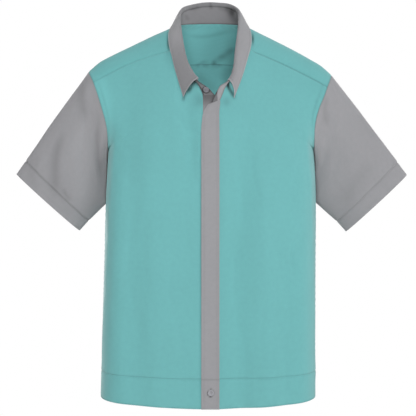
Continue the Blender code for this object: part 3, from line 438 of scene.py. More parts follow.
def armhole_point(turn, side, front):
    """Point of the armhole loop: turn 0 is the underarm and pi the shoulder point."""
    height = UNDERARM + (armhole_top(side) - UNDERARM) * (1 - np.cos(turn)) / 2
    reach = -ARMHOLE_FRONT if front else ARMHOLE_BACK
    return np.stack([side * edge_out(height, side), reach * np.sin(turn), height], axis=-1)


def armhole_inward(turn, front):
    """Direction through the cloth at the armhole, the same for the body and for the sleeve."""
    backward = np.sin(turn) if front else -np.sin(turn)
    return np.stack([np.zeros_like(backward), backward, np.cos(turn)], axis=-1)


def blend_grid(bottom, top, inner, outer):
    """Grid that meets four edges. Rows go from bottom to top, columns from inner to outer."""
    rows = np.linspace(0, 1, len(inner))[:, None, None]
    columns = arc_share(bottom)[None, :, None]
    across = inner[:, None] * (1 - columns) + outer[:, None] * columns
    upward = bottom[None] * (1 - rows) + top[None] * rows
    corners = (bottom[0] * (1 - columns) + bottom[-1] * columns) * (1 - rows)
    corners = corners + (top[0] * (1 - columns) + top[-1] * columns) * rows
    return across + upward - corners


def arc_share(points):
    steps = np.linalg.norm(np.diff(points, axis=0), axis=1)
    total = np.concatenate([[0], np.cumsum(steps)])
    return total / total[-1]


def outward_normals(grid, centre=CHEST_MIDDLE, closed=False):
    """Unit normal at each grid point, from its neighbours, turned to point away from a centre."""
    along = np.gradient(grid, axis=0)
    if closed:
        across = np.roll(grid, -1, axis=1) - np.roll(grid, 1, axis=1)
    else:
        across = np.gradient(grid, axis=1)
    normals = unit(np.cross(along, across))
    return normals if np.sum(normals * (grid - centre)) > 0 else -normals


def upright(normals):
    """Normals whose first column has no lean across the front, where a panel meets the placket."""
    normals = normals.copy()
    normals[:, 0, 0] = 0
    return unit(normals)


def neck_curve():
    """Neck seam with the depth of its front rows read from the fronts."""
    return on_fronts(places_of(NECK_SEAM), NECK_SEAM["on_front"], 0)


def on_fronts(points, flags, lift):
    """The same points, with the depth of the flagged ones read from the fronts."""
    x, _, z = points.T
    depth = on_both_sides(front_y, x, z) - lift
    return np.stack([x, np.where(flags, depth, points[:, 1]), z], axis=1)


def neck_part(first, last, count):
    """Evenly spread points of the neck seam between two of its rows."""
    points = neck_curve()
    return follow(np.arange(len(points)), points, np.linspace(first, last, count))


def front_top_edge(side):
    """Top edge of a front seen from the front: neckline, then the yoke seam out to the armhole."""
    end = 0 if side < 0 else len(NECK_SEAM["x"]) - 1
    neckline = neck_part(end, NECK_JOIN[side], NECK_COLUMNS + 1)
    neckline[0, 0] = UNDER_PLACKET_EDGE[side]
    corner = armhole_point(YOKE_FRONT_TURN[side], side, True)
    share = np.linspace(0, 1, YOKE_COLUMNS)[1:, None]
    seam = neckline[-1] + (corner - neckline[-1]) * share
    seam[:, 2] += YOKE_SEAM_RISE[side] * np.sin(np.pi * share[:, 0])
    return np.concatenate([neckline, seam])


def side_seam(side):
    heights = np.linspace(BAND_SEAM + BAND_SEAM_RISE, UNDERARM, BODY_ROWS + 1)[:-1]
    return np.stack([side * edge_out(heights, side), np.zeros(BODY_ROWS), heights], axis=1)


def bottom_spread(start, end, count, first_angle):
    """Points across the foot of a panel, closer together where it rounds into the side."""
    angles = np.linspace(first_angle, math.pi / 2, count)
    part = (np.sin(angles) - np.sin(first_angle)) / (1 - np.sin(first_angle))
    return start + (end - start) * part


def front_bottom(side, height, rise):
    """Points across the foot of a front at one height, on its outer face."""
    count = NECK_COLUMNS + YOKE_COLUMNS
    x = bottom_spread(UNDER_PLACKET_EDGE[side], side * edge_out(height, side), count, 0)
    z = height + rise * side_share(x, height, side) ** HEM_BOW
    x[-1] = side * edge_out(z[-1], side)
    return np.stack([x, front_y(x, z, side), z], axis=1)


def front_panel(side):
    """Outer face of one front and its normals, from the placket edge to the side and armhole."""
    top = front_top_edge(side)
    turns = np.linspace(0, YOKE_FRONT_TURN[side], ARMHOLE_ROWS)
    outer = np.concatenate([side_seam(side), armhole_point(turns, side, True)])
    bottom = front_bottom(side, BAND_SEAM, BAND_SEAM_RISE)
    share = (outer[:, 2] - outer[0, 2]) / (outer[-1, 2] - outer[0, 2])
    inner = bottom[0] + (top[0] - bottom[0]) * share[:, None]
    grid = blend_grid(bottom, top, inner, outer)
    inside = grid[:, :-1]
    inside[..., 1] = front_y(inside[..., 0], inside[..., 2], side)
    normals = upright(outward_normals(grid))
    normals[:BODY_ROWS, -1] = (side, 0, 0)
    normals[BODY_ROWS:, -1] = -armhole_inward(turns, True)
    return grid, normals


def back_bottom(height, rise):
    """Points across the foot of the back at one height."""
    z = height + rise * np.abs(BACK_SPREAD) ** HEM_BOW
    x = np.where(BACK_SPREAD < 0, edge_out(z, -1), edge_out(z, 1)) * BACK_SPREAD
    return np.stack([x, on_both_sides(back_y, x, z), z], axis=1)


def back_yoke_seam():
    """Seam of yoke and back, from the right armhole to the left one."""
    right = armhole_point(YOKE_BACK_TURN, -1, False)
    left = armhole_point(YOKE_BACK_TURN, 1, False)
    x = np.where(BACK_SPREAD < 0, -right[0], left[0]) * BACK_SPREAD
    ends = np.where(BACK_SPREAD < 0, right[2], left[2])
    z = BACK_SEAM_HEIGHT + (ends - BACK_SEAM_HEIGHT) * np.abs(BACK_SPREAD) ** BACK_SEAM_BOW
    seam = np.stack([x, on_both_sides(back_y, x, z), z], axis=1)
    seam[0] = right
    seam[-1] = left
    return seam


def back_panel():
    """Outer face of the back and its normals, from the right side to the left."""
    turns = np.linspace(0, YOKE_BACK_TURN, ARMHOLE_ROWS)
    edges = [np.concatenate([side_seam(side), armhole_point(turns, side, False)]) for side in (-1, 1)]
    grid = blend_grid(back_bottom(BAND_SEAM, BAND_SEAM_RISE), back_yoke_seam(), *edges)
    inside = grid[:, 1:-1]
    inside[..., 1] = on_both_sides(back_y, inside[..., 0], inside[..., 2])
    normals = outward_normals(grid)
    for side, column in ((-1, 0), (1, -1)):
        normals[:BODY_ROWS, column] = (side, 0, 0)
        normals[BODY_ROWS:, column] = -armhole_inward(turns, False)
    return grid, normals


def drawn_in(line, beside):
    """A line of a grid, moved by half a seam gap towards the line beside it."""
    return line + unit(beside - line) * SEAM_GAP / 2


def part_side_seams(grid, columns):
    """Leave half a seam gap at the side seams, from the hem up to the underarm."""
    parted = grid.copy()
    rows = slice(BODY_ROWS + 1)
    for column in columns:
        parted[rows, column] = drawn_in(grid[rows, column], grid[rows, 1 if column == 0 else -2])
    return parted


def part_ends(grid):
    """Leave half a seam gap at the bottom row and at the top row."""
    parted = grid.copy()
    parted[0] = drawn_in(grid[0], grid[1])
    parted[-1] = drawn_in(grid[-1], grid[-2])
    return parted


def yoke_panel():
    """Outer face of the yoke: columns fan out from the neck seam to the front seams, armholes and back."""
    back_seam, back_normals = (part[-1] for part in back_panel())
    rings = []
    stretches = []
    for side in (-1, 1):
        front, back = armhole_turns(side)
        rings.append(armhole_ring(side, front[ARMHOLE_ROWS - 1:], back[:YOKE_TURNS - 1]))
        ends = NECK_JOIN[side], NECK_RIDGE[side], NECK_BACK[side]
        stretches.append(np.interp(np.linspace(0, 2, 2 * YOKE_TURNS - 1), (0, 1, 2), ends))
    (right, right_normals), (left, left_normals) = rings
    border = np.concatenate([right, back_seam[1:-1], left[::-1]])
    border_normals = np.concatenate([right_normals, back_normals[1:-1], left_normals[::-1]])
    middle = np.linspace(NECK_BACK[-1], NECK_BACK[1], BACK_COLUMNS + 1)[1:-1]
    rows = np.concatenate([stretches[0], middle, stretches[1][::-1]])
    neck = follow(np.arange(len(NECK_SEAM["x"])), neck_curve(), rows)
    share = np.linspace(0, 1, YOKE_COLUMNS)[:, None, None]
    grid = neck[None] * (1 - share) + border[None] * share
    around = np.abs(np.linspace(-1, 1, len(border)))
    to_front = fade(around, *YOKE_HUMP_CHANGE)
    tail = YOKE_HUMP["back"] + (YOKE_HUMP["front"] - YOKE_HUMP["back"]) * to_front
    bulge = YOKE_BULGE * (1 - fade(around, *YOKE_HUMP_END))
    normals = outward_normals(grid)
    hump = share ** YOKE_HUMP["neck"] * (1 - share) ** tail[None, :, None]
    grid = grid + normals * bulge[None, :, None] * hump
    for _ in range(YOKE_SOFTENING):
        grid[1:-1, 1:-1] = (grid[1:-1, :-2] + 2 * grid[1:-1, 1:-1] + grid[1:-1, 2:]) / 4
    fronts = {}
    for side, column in ((-1, 0), (1, -1)):
        front, front_normals = front_panel(side)
        grid[:, column] = front[-1, NECK_COLUMNS:]
        fronts[column] = front_normals[-1, NECK_COLUMNS:]
    normals = outward_normals(grid)
    normals[-1] = border_normals
    for column, seam_normals in fronts.items():
        normals[:, column] = seam_normals
    return grid, normals


def armhole_turns(side):
    """Turns round an armhole and the half that each lies in, from the underarm up the front."""
    front = np.concatenate([np.linspace(0, YOKE_FRONT_TURN[side], ARMHOLE_ROWS),
                            np.linspace(YOKE_FRONT_TURN[side], math.pi, YOKE_TURNS)[1:]])
    back = np.concatenate([np.linspace(math.pi, YOKE_BACK_TURN, YOKE_TURNS)[1:],
                           np.linspace(YOKE_BACK_TURN, 0, ARMHOLE_ROWS)[1:-1]])
    return front, back


def armhole_ring(side, front, back):
    """Points of the armhole loop at turns of its two halves, with the ways out of the cloth."""
    points = np.concatenate([armhole_point(front, side, True), armhole_point(back, side, False)])
    inward = np.concatenate([armhole_inward(front, True), armhole_inward(back, False)])
    return points, -inward


def sleeve_panel(side, alongs):
    """Outer face of a sleeve: rings along it, each from its underside up the front and down the back."""
    name = side_name(side)
    front, back = armhole_turns(side)
    turns = np.concatenate([front, back])
    in_front = np.arange(len(turns)) < len(front)
    loop, loop_normals = armhole_ring(side, front, back)
    seam_x, seam_z = side * SLEEVE_UNDER[name + "_x"], SLEEVE_UNDER[name + "_z"]
    under = np.stack([seam_x, SLEEVE_UNDER["y"], seam_z], axis=1)
    under = follow(SLEEVE_UNDER["along"], under, alongs)[:, None]
    shoulder = armhole_point(math.pi, side, True)
    cuff_top = np.array([side * SLEEVE_TOP_END[name + "_x"][0], 0, SLEEVE_TOP_END[name + "_z"][0]])
    along = alongs[:, None, None]
    top = shoulder + (cuff_top - shoulder) * along
    top[..., 2] += SLEEVE_BOW[side] * np.sin(np.pi * along[..., 0])
    rise = ((1 - np.cos(turns)) / 2)[None, :, None]
    rings = under + (top - under) * rise
    to_front, to_back = (follow(SLEEVE_DEPTH["along"], SLEEVE_DEPTH[half], alongs)[:, None]
                         for half in ("front", "back"))
    reach = np.where(in_front[None], -to_front, to_back)
    rings[..., 1] += reach * np.sin(turns)[None] - sleeve_folds(alongs, turns, in_front) * np.sign(reach)
    straight = loop[0] + (loop[len(front) - 1] - loop[0]) * rise[0]
    bend = (loop - straight)[None] * np.clip(1 - along / SLEEVE_BEND_END, 0, 1) ** 2
    bend[..., 1] = 0
    rings = rings + bend
    body = body_out(rings[..., 1], rings[..., 2], side)
    clear = SLEEVE_CLEAR * np.clip(alongs / SLEEVE_CLEAR_FROM, 0, 1)[:, None]
    rings[..., 0] = side * np.maximum(np.abs(rings[..., 0]), body + clear)
    normals = outward_normals(rings, rings.mean(axis=1, keepdims=True), closed=True)
    if alongs[0] == 0:
        normals[0] = loop_normals
        outward = np.array([side, 0, 0])
        across = outward - normals[0] * (normals[0] @ outward)[:, None]
        rings[0] = loop + unit(across) * SEAM_GAP
    return rings, normals


def sleeve_folds(alongs, turns, in_front):
    """Depth of the soft folds on a sleeve, by place along and round it."""
    round_share = np.where(in_front, turns / (2 * math.pi), 1 - turns / (2 * math.pi))[None]
    along = alongs[:, None]
    total = np.zeros((len(alongs), len(turns)))
    for row in zip(*SLEEVE_FOLDS.values()):
        from_along, from_turn, to_along, to_turn, width, depth = row
        part = (along - from_along) / (to_along - from_along)
        middle = from_turn + (to_turn - from_turn) * part
        total = total + depth * within(part, SLEEVE_FOLD_SPAN) * bell(round_share - middle, width)
    return total


def band_heights():
    """Height in the middle and rise at the sides for each row of the hem bands."""
    heights = np.linspace(BAND_SEAM - SEAM_GAP / 2, HEM, BAND_ROWS)
    return zip(heights, np.linspace(BAND_SEAM_RISE, HEM_RISE, BAND_ROWS))


def strip_on_front(left_edge, right_edge, lift):
    """Grid of a strip that lies on the fronts between two edges seen from the front."""
    share = np.linspace(0, 1, PLACKET_COLUMNS)[None, :, None]
    flat = left_edge[:, None] * (1 - share) + right_edge[:, None] * share
    x, z = flat[..., 0], flat[..., 1]
    return np.stack([x, on_both_sides(front_y, x, z) - lift, z], axis=2)


def collar_frame(rows):
    """Neck seam, roll line and the collar's own up and outward directions at some rows."""
    count = np.arange(len(ROLL_LINE["x"]))
    top = follow(count, places_of(ROLL_LINE), rows)
    seam = follow(count, neck_curve(), rows)
    tangent = unit(np.gradient(top, axis=0))
    rise = top - seam
    rise = rise - tangent * np.sum(rise * tangent, axis=1, keepdims=True) * COLLAR_LEAN
    up = unit(rise)
    outward = unit(np.cross(up, tangent))
    return seam, top, up, outward


def leaf_rise(rows):
    """How far the leaf stands above its seam with the stand, inside the neck."""
    middle = (LEAF_FIRST_ROW + LEAF_LAST_ROW) / 2
    reach = np.abs(rows - middle) / (LEAF_LAST_ROW - middle)
    return LEAF_RISE["back"] + (LEAF_RISE["front"] - LEAF_RISE["back"]) * fade(reach, *LEAF_RISE_CHANGE)


def stand_faces(rows):
    """Outer and inner face of the collar stand at some rows, from its seam up to the leaf."""
    seam, top, up, outward = collar_frame(rows)
    first, last = LEAF_FIRST_ROW, LEAF_LAST_ROW
    under_leaf = fade(rows, first - 1, first) * (1 - fade(rows, last, last + 1))
    top = top - up * ((leaf_rise(rows) + SEAM_GAP) * under_leaf)[:, None]
    foot = seam + up * SEAM_GAP * 2
    share = np.linspace(0, 1, STAND_LINES)[:, None, None]
    inner = foot[None] * (1 - share) + top[None] * share
    return inner + outward[None] * TWO_PLY, inner


def leaf_edge_curve(rows):
    edge = on_fronts(places_of(LEAF_EDGE), LEAF_EDGE["on_front"], LEAF_CLEAR)
    return follow(np.arange(len(edge)), edge, rows - LEAF_FIRST_ROW)


def leaf_panel():
    """Visible face of the leaf: up inside the neck, over the roll and down to its free edge."""
    last = LEAF_LAST_ROW - LEAF_FIRST_ROW
    rows = np.linspace(LEAF_FIRST_ROW, LEAF_LAST_ROW, last * COLLAR_STEPS + 1)
    _, top, up, outward = collar_frame(rows)
    lines = [top - up * leaf_rise(rows)[:, None]]
    centre = top + (outward - up) * ROLL_RADIUS
    for angle in np.radians(ROLL_ANGLES):
        lines.append(centre + (outward * math.cos(angle) + up * math.sin(angle)) * ROLL_RADIUS)
    start = lines[-1]
    edge = leaf_edge_curve(rows)
    columns = np.arange(len(rows))
    arch = LEAF_ARCH[-1] * np.clip(1 - columns / LEAF_ARCH_COLUMNS, 0, 1)
    arch = arch - LEAF_ARCH[1] * np.clip(1 - columns[::-1] / LEAF_ARCH_COLUMNS, 0, 1)
    along = unit(np.gradient(edge, axis=0))
    forward = np.abs(np.linspace(-1, 1, len(rows)))
    swell = follow(LEAF_SWELL["turn"], LEAF_SWELL["swell"], forward)[:, None]
    for share in LEAF_SHARES:
        bulge = swell * math.sin(math.pi * share) * outward
        arched = along * (arch * math.sin(math.pi * share**LEAF_ARCH_PEAK))[:, None]
        lines.append(start * (1 - share) + edge * share + bulge + arched)
    return np.stack(lines)


def button_blank():
    """Dished disc in the XY plane with its back on the plane, before the holes are cut."""
    profile = (
        (0, 0),
        (BUTTON_RADIUS - BUTTON_EDGE, 0),
        (BUTTON_RADIUS, BUTTON_EDGE),
        (BUTTON_RADIUS, BUTTON_THICK - BUTTON_EDGE),
        (BUTTON_RADIUS - BUTTON_EDGE, BUTTON_THICK),
        (BUTTON_RADIUS - BUTTON_RIM, BUTTON_THICK),
        (BUTTON_RADIUS - BUTTON_RIM - BUTTON_DISH, BUTTON_THICK - BUTTON_DISH),
        (0, BUTTON_THICK - BUTTON_DISH),
    )
    blank = bmesh.new()
    line = [blank.verts.new((out, 0, height)) for out, height in profile]
    edges = [blank.edges.new(pair) for pair in zip(line, line[1:])]
    bmesh.ops.spin(blank, geom=line + edges, axis=(0, 0, 1), cent=(0, 0, 0),
                   steps=BUTTON_SIDES, angle=2 * math.pi)
    bmesh.ops.remove_doubles(blank, verts=blank.verts, dist=MERGE)
    return blank


def hole_cutters():
    """Four round rods through the button."""
    rods = bmesh.new()
    for quarter in range(4):
        angle = (quarter + 0.5) * math.pi / 2
        out = Vector((math.cos(angle), math.sin(angle), 0)) * BUTTON_HOLE_OUT
        place = Matrix.Translation(out)
        bmesh.ops.create_cone(rods, cap_ends=True, segments=HOLE_SIDES, radius1=BUTTON_HOLE_RADIUS,
                              radius2=BUTTON_HOLE_RADIUS, depth=4 * BUTTON_THICK, matrix=place)
    return rods


def placed(name, data):
    """A new object of a name in the scene."""
    piece = bpy.data.objects.new(name, data)
    bpy.context.scene.collection.objects.link(piece)
    return piece


def bored_button():
    """Mesh of a button with its four holes, in millimetres."""
    pieces = []
    for name, shape in (("button_blank", button_blank()), ("button_holes", hole_cutters())):
        bmesh.ops.recalc_face_normals(shape, faces=shape.faces)
        mesh = bpy.data.meshes.new(name)
        shape.to_mesh(mesh)
        shape.free()
        pieces.append(placed(name, mesh))
    blank, cutter = pieces
    cut = blank.modifiers.new("holes", "BOOLEAN")
    cut.operation = "DIFFERENCE"
    cut.solver = "EXACT"
    cut.object = cutter
    bored = bpy.data.meshes.new_from_object(blank.evaluated_get(bpy.context.evaluated_depsgraph_get()))
    for piece in pieces:
        bpy.data.objects.remove(piece, do_unlink=True)
    return bored


# ---- scene only: sizes of the cloth itself, in millimetres ----

# Real cloth under the solids' walls: one ply, and two plies with an interlining between them
PLY = 0.8
DOUBLED = 1.3

# How finely the cloth is drawn: steps between two rows and between two columns of a solid's grid,
# and the row and the column that tell how long the steps are (None is the middle one)
FINE = {
    "front": (8, 5, 12, 8),
    "back": (8, 5, 10, None),
    "yoke": (6, 4, 4, None),
    "hem_band": (12, 5, None, None),
    "strip": (8, 5, 4, None),
    "tab": (8, 6, None, None),
    "stand": (4, 5, None, 1),
    "leaf": (4, 5, -1, None),
}
SLEEVE_RINGS = 64
SLEEVE_HEM_RINGS = 11
SLEEVE_AROUND = 5
# Fine lines beside a seam, by their distance from it, and the share of a step that they keep clear
SEAM_LINES = (0.6, 1.4, 2.6, 4.2, 6.2, 8.8)
LINE_CLEAR = 0.3

# Topstitching: distance in from the edge that it follows
ARMHOLE_STITCH = 9.0
YOKE_STITCH = 2.0
COLLAR_STITCH = 4.0
PLACKET_STITCH = 4.0
HEM_STITCH = 2.0
STITCH_GROOVE = {"width": 1.3, "depth": 0.28}
# How much thicker the seam allowance makes the cloth up to its stitches, and where beside them it ends
ALLOWANCE = {"armhole": 0.35, "collar": 0.15, "end": (-1.0, 1.2)}
SEAM_VALLEY = {"depth": 0.75, "width": 1.5}

# Puckers along the seams: edge, share of the set height, distance apart, reach and seed
PUCKERS = {
    "front": (("outer", 1.0, 11, 13, 5), ("foot", 1.3, 12, 16, 15), ("top", 1.0, 10, 10, 25)),
    "back": (("inner", 1.0, 11, 13, 61), ("outer", 1.0, 11, 13, 71),
             ("foot", 1.3, 12, 16, 81), ("top", 1.2, 9, 14, 91)),
    "hem_band": (("foot", 1.2, 13, 14, 241), ("top", 0.7, 12, 9, 242)),
    "yoke": (("inner", 1.0, 10, 10, 101), ("outer", 1.0, 10, 10, 111),
             ("top", 1.2, 10, 13, 121), ("foot", 1.5, 10, 16, 131)),
    "sleeve": (("foot", 1.0, 11, 12, 142), ("top", 1.0, 10, 10, 144)),
    "under_placket": (("inner", 0.8, 13, 9, 183), ("outer", 0.8, 15, 9, 185)),
    "placket": (("inner", 0.8, 13, 9, 193), ("outer", 0.8, 15, 9, 195)),
    "stand": (("inner", 1.2, 10, 8, 201), ("outer", 1.2, 10, 8, 211)),
    "leaf": (("foot", 1.2, 10, 7, 221), ("top", 0.6, 14, 7, 231)),
}
# Along a seam the puckers drift and swell over a few of them, down to a least share of their height,
# and start a little way in from it
PUCKER_DRIFT = 5
PUCKER_SWELL = 3
PUCKER_LEAST = 0.65
PUCKER_START = 1.5

# Slow unevenness of worn cloth: height and breadth of its waves, and the first seed
WAVES = {
    "front": ((0.54, 52), (0.27, 23), 40),
    "back": ((0.63, 52), (0.315, 23), 60),
    "yoke": ((0.45, 52), (0.225, 23), 100),
    "sleeve": ((0.5, 40), 140),
    "under_placket": ((0.25, 18), 170),
    "placket": ((0.25, 18), 180),
    "tab": ((0.2, 15), 190),
    "stand": ((0.25, 16), 200),
    "leaf": ((0.35, 26), 220),
    "hem_band": ((0.5, 34), 240),
}
# Where along a crease it fades in and out, its bow as a share of its length and in half turns, and
# its width at its top and at its foot as a share of the table's
CREASE_SPAN = (-0.05, 0.3, 0.7, 1.05)
CREASE_BOW = 0.05
CREASE_TURNS = 1.5
CREASE_WIDTH = (0.8, 1.3)
# Edges that creases and waves keep free: how far in they begin to show, and where they show fully
FREE_EDGES = {
    "front": {"outer": (2, 24), "inner": (6, 26), "top": (0, 18), "foot": (0, 14)},
    "back": {"outer": (2, 24), "inner": (2, 24), "top": (0, 18), "foot": (0, 14)},
    "yoke": {"top": (0, 16), "inner": (0, 14), "outer": (0, 14)},
    "sleeve": {"foot": (0, 14)},
    "leaf": {"top": (2, 12)},
}
# Groove of a sleeve's seam at its underside, and where the sleeve counts as front, by its depth
UNDERSIDE_SEAM = {"depth": 0.4, "width": 1.8, "free": (2, 22)}
SLEEVE_FRONT = (-10, 10)
# Height over the underarm where the side seam turns into the armhole, and where its stitches begin
ARMHOLE_FROM = (-4, 8)
ARMHOLE_ROW_FROM = 3

# Creases of the fronts, seen from the front. Lean tips a crease into a fold that rises on one side
FRONT_CREASES = table("top_x top_z foot_x foot_z width depth lean", (
    (-207, -112, -199, -178, 4.0, 1.3, 0.8),
    (-196, -196, -158, -262, 7.0, 1.1, 0.5),
    (-186, -232, -150, -330, 9.0, 1.0, -0.4),
    (-74, -166, -20, -240, 8.0, 1.5, 0.6),
    (-150, -372, -142, -680, 9.0, 1.2, 0.4),
    (-112, -330, -104, -676, 8.0, 1.1, -0.4),
    (-70, -430, -62, -690, 7.0, 0.8, 0.5),
    (-38, -300, -34, -560, 6.0, 0.6, 0.4),
    (84, -232, 90, -376, 7.0, 1.5, 0.6),
    (60, -404, 56, -684, 7.0, 1.3, -0.5),
    (161, -418, 153, -492, 3.4, 1.4, 0.8),
    (118, -300, 126, -520, 9.0, 0.8, 0.4),
    (196, -200, 150, -268, 7.0, 1.0, 0.5),
    (186, -250, 158, -330, 8.0, 0.8, -0.4),
    (104, -560, 96, -690, 7.0, 0.9, 0.4),
    (34, -380, 40, -470, 8.0, 0.6, -0.4),
    (-92, -96, -60, -150, 8.0, 0.7, 0.4),
    (84, -96, 58, -150, 8.0, 0.6, 0.4),
))

# Shade of the collar leaf on the fronts and the yoke: side, place, size and share of lightness lost
LEAF_SHADE = table("side x z across down share", (
    (-1, -26, -117, 7, 8, 0.6),
    (-1, -20, -152, 12, 15, 0.2),
    (-1, -82.4, -28, 2.1, 20, 0.85),
    (-1, -80, -62, 9, 30, 0.08),
    (1, 33, -119, 5, 8, 0.6),
    (1, 31, -155, 8, 9, 0.2),
    (1, 84, -24, 2.4, 12, 0.8),
))

# The darkest shade runs right along the leaf's arched front edges
LEAF_LINES = table("top_x top_z foot_x foot_z width share", (
    (-38, -126, -57, -154, 2.4, 0.7),
    (-17, -103, -48, -138, 3.0, 0.85),
    (24, -114, 40, -116, 2.4, 0.5),
    (32, -108, 46, -152, 2.8, 0.85),
))

# Folds of the sleeves seen from the front: painted shade in troughs, painted light where negative
SLEEVE_SHADES = table("top_x top_z foot_x foot_z width share", (
    (-249, -102, -254, -192, 8, 0.12),
    (-288, -205, -318, -345, 9, 0.20),
    (-216, -165, -205, -400, 7, 0.18),
    (-243, -170, -266, -380, 15, -0.08),
    (-236, -100, -236, -170, 9, -0.06),
    (-292, -318, -280, -350, 4, 0.14),
    (-340, -250, -360, -330, 10, 0.07),
    (231, -135, 225, -205, 6, 0.14),
    (330, -270, 232, -395, 16, 0.07),
    (262, -240, 250, -340, 12, -0.03),
    (300, -170, 330, -230, 14, 0.03),
))
# How much of a sleeve's painted fold shade is also relief, in millimetres to a whole share of its tone
SLEEVE_SHADE_RELIEF = 14.0

# Painted shade of folds and gathers on the wrong side of yoke and back, inside the neck
INSIDE_SHADES = table("top_x top_z foot_x foot_z width share", (
    (56, -32, 16, -54, 7.0, 0.26),
    (30, -44, 0, -70, 5.5, 0.22),
    (-60, -2, 60, -3, 4.0, 0.14),
    (50, 20, 44, -120, 13, 0.16),
    (40, -66, 24, -100, 12, 0.12),
    (-26, -74, 10, -124, 9, 0.12),
    (-25, -54, -24, -74, 2.4, 0.26),
    (-14, -54, -14, -72, 2.4, 0.22),
    (-4, -52, -5, -74, 2.4, 0.30),
    (11, -50, 9, -74, 2.4, 0.30),
    (21, -54, 20, -72, 2.4, 0.22),
))

# Painted shade of the collar's folds inside the neck
COLLAR_SHADES = table("top_x top_z foot_x foot_z width share", (
    (44, 56, 56, 6, 9, 0.34),
    (30, 52, 52, 30, 6, 0.16),
    (1, 62, 2, 44, 2.6, 0.22),
    (-44, 44, -20, 50, 4, 0.10),
    (-50, 34, -46, 20, 4, 0.14),
    (14, 50, 40, 42, 4, 0.12),
))

# Creases of the back, seen from the front through the shirt
BACK_CREASES = table("top_x top_z foot_x foot_z width depth lean", (
    (-188, -196, -128, -270, 8.0, 1.2, 0.5),
    (188, -196, 130, -276, 8.0, 1.2, -0.5),
    (-182, -250, -140, -340, 9.0, 1.0, 0.4),
    (180, -256, 142, -350, 9.0, 0.9, -0.4),
    (-84, -96, -66, -420, 8.0, 1.3, 0.5),
    (76, -94, 60, -430, 8.0, 1.3, -0.5),
    (-30, -320, -40, -686, 8.0, 1.2, 0.4),
    (36, -350, 48, -686, 8.0, 1.2, -0.4),
    (-122, -470, -116, -686, 8.0, 1.0, 0.4),
    (118, -440, 108, -686, 8.0, 1.0, -0.4),
    (-60, -380, -20, -330, 7.0, 0.8, 0.4),
    (64, -400, 24, -350, 7.0, 0.8, -0.4),
))

# Creases of the sleeves: along them, and round from the underside up the front and down the back
SLEEVE_CREASES = {
    "right": table("from_along from_turn to_along to_turn width depth lean", (
        (0.16, 0.33, 0.62, 0.19, 0.016, 1.6, 0.7),
        (0.40, 0.20, 0.86, 0.12, 0.014, 1.1, -0.5),
        (0.04, 0.44, 0.30, 0.40, 0.014, 1.1, 0.5),
        (0.50, 0.34, 0.62, 0.31, 0.010, 0.8, 0.5),
        (0.00, 0.16, 0.34, 0.08, 0.020, 1.2, 0.4),
        (0.10, 0.72, 0.60, 0.86, 0.018, 1.4, 0.6),
        (0.34, 0.64, 0.84, 0.76, 0.016, 1.0, -0.5),
        (0.02, 0.57, 0.26, 0.61, 0.015, 1.0, 0.5),
    )),
    "left": table("from_along from_turn to_along to_turn width depth lean", (
        (0.14, 0.30, 0.56, 0.18, 0.018, 1.1, 0.6),
        (0.44, 0.22, 0.88, 0.15, 0.015, 0.8, -0.5),
        (0.02, 0.42, 0.22, 0.38, 0.014, 0.8, 0.5),
        (0.00, 0.14, 0.32, 0.07, 0.020, 1.1, 0.4),
        (0.10, 0.70, 0.58, 0.85, 0.018, 1.4, 0.6),
        (0.36, 0.63, 0.86, 0.75, 0.016, 0.9, -0.5),
        (0.02, 0.58, 0.24, 0.62, 0.015, 0.9, 0.5),
    )),
}

# Short crosswise puckers where the placket was stitched tighter than the cloth under it
PLACKET_PUCKERS = table("height width depth", (
    (-311, 5, 0.8), (-399, 6, 0.9), (-470, 7, 0.5), (-547, 5, 0.9),
    (-601, 6, 0.8), (-655, 6, 0.5), (-255, 7, 0.5),
))

# How much of that depth shows, how the puckers slant, and their share on the strip under the placket
PLACKET_PUCKER_SHARE = 0.7
PLACKET_SLANT = 0.12
UNDER_PLACKET_PUCKERS = 0.3

# The strip under the placket reaches up to the stand as cloth, and lies in shade there
UNDER_PLACKET_LAP = 1.8
UNDER_SHADE = 0.62
UNDER_SHADE_LENGTH = 22.0

# Edges of a sheet: how far out along the cloth and down through it its rim runs, as rings of its
# face and then of its lining. A folded edge is counted in thicknesses, a seam in millimetres.
FOLDED_EDGE = ((0.28, 0.12), (0.46, 0.32)), ((0.28, 0.88), (0.46, 0.68))
SEAM_EDGE = ((0.12, 0.25), (0.38, 0.90)), ((0.05, 0.20), (0.25, 0.45))

# Painted light and shade in the cloth's colour: painted shade along its seams and rows of stitches,
# under another ply and inside the collar, and painted light where a share is negative. Width of such
# a line, limits of its darkening, and the share of its lightness that the cloth loses in each
TONE_WIDTH = 1.5
TONE_SPAN = (-0.3, 0.95)
TONE = {"yoke_right": 0.08, "yoke_left": 0.20, "armhole": 0.24, "armhole_stitch": 0.10, "band": 0.18,
        "side": 0.15, "sleeve_hem_right": 0.18, "sleeve_hem_left": 0.09, "sleeve_head": 0.25,
        "placket": 0.34, "placket_stitch": 0.05, "leaf_edge": -0.26, "leaf_stitch": 0.07,
        "stand_seam": 0.30, "back_yoke": 0.18, "rubbed_right": -0.12, "rubbed_left": 0.0,
        "placket_foot": 0.16, "stand": 0.32, "leaf_inside": 0.22}
# Painted shade in the back's creases: share of its lightness that the back loses for each millimetre
# that it lies back in a crease
CREASE_TONE = 0.09
# Painted light: the wrong side of the cloth, which shows inside the neck, is drawn a little lighter
WRONG_SIDE = 1.2
# Painted light in a strip beside the side seam and armhole of a front: distance in from the edge,
# and how broad the strip is
PAINTED_LIGHT_STRIP = {"inset": 13.0, "width": 13.0}


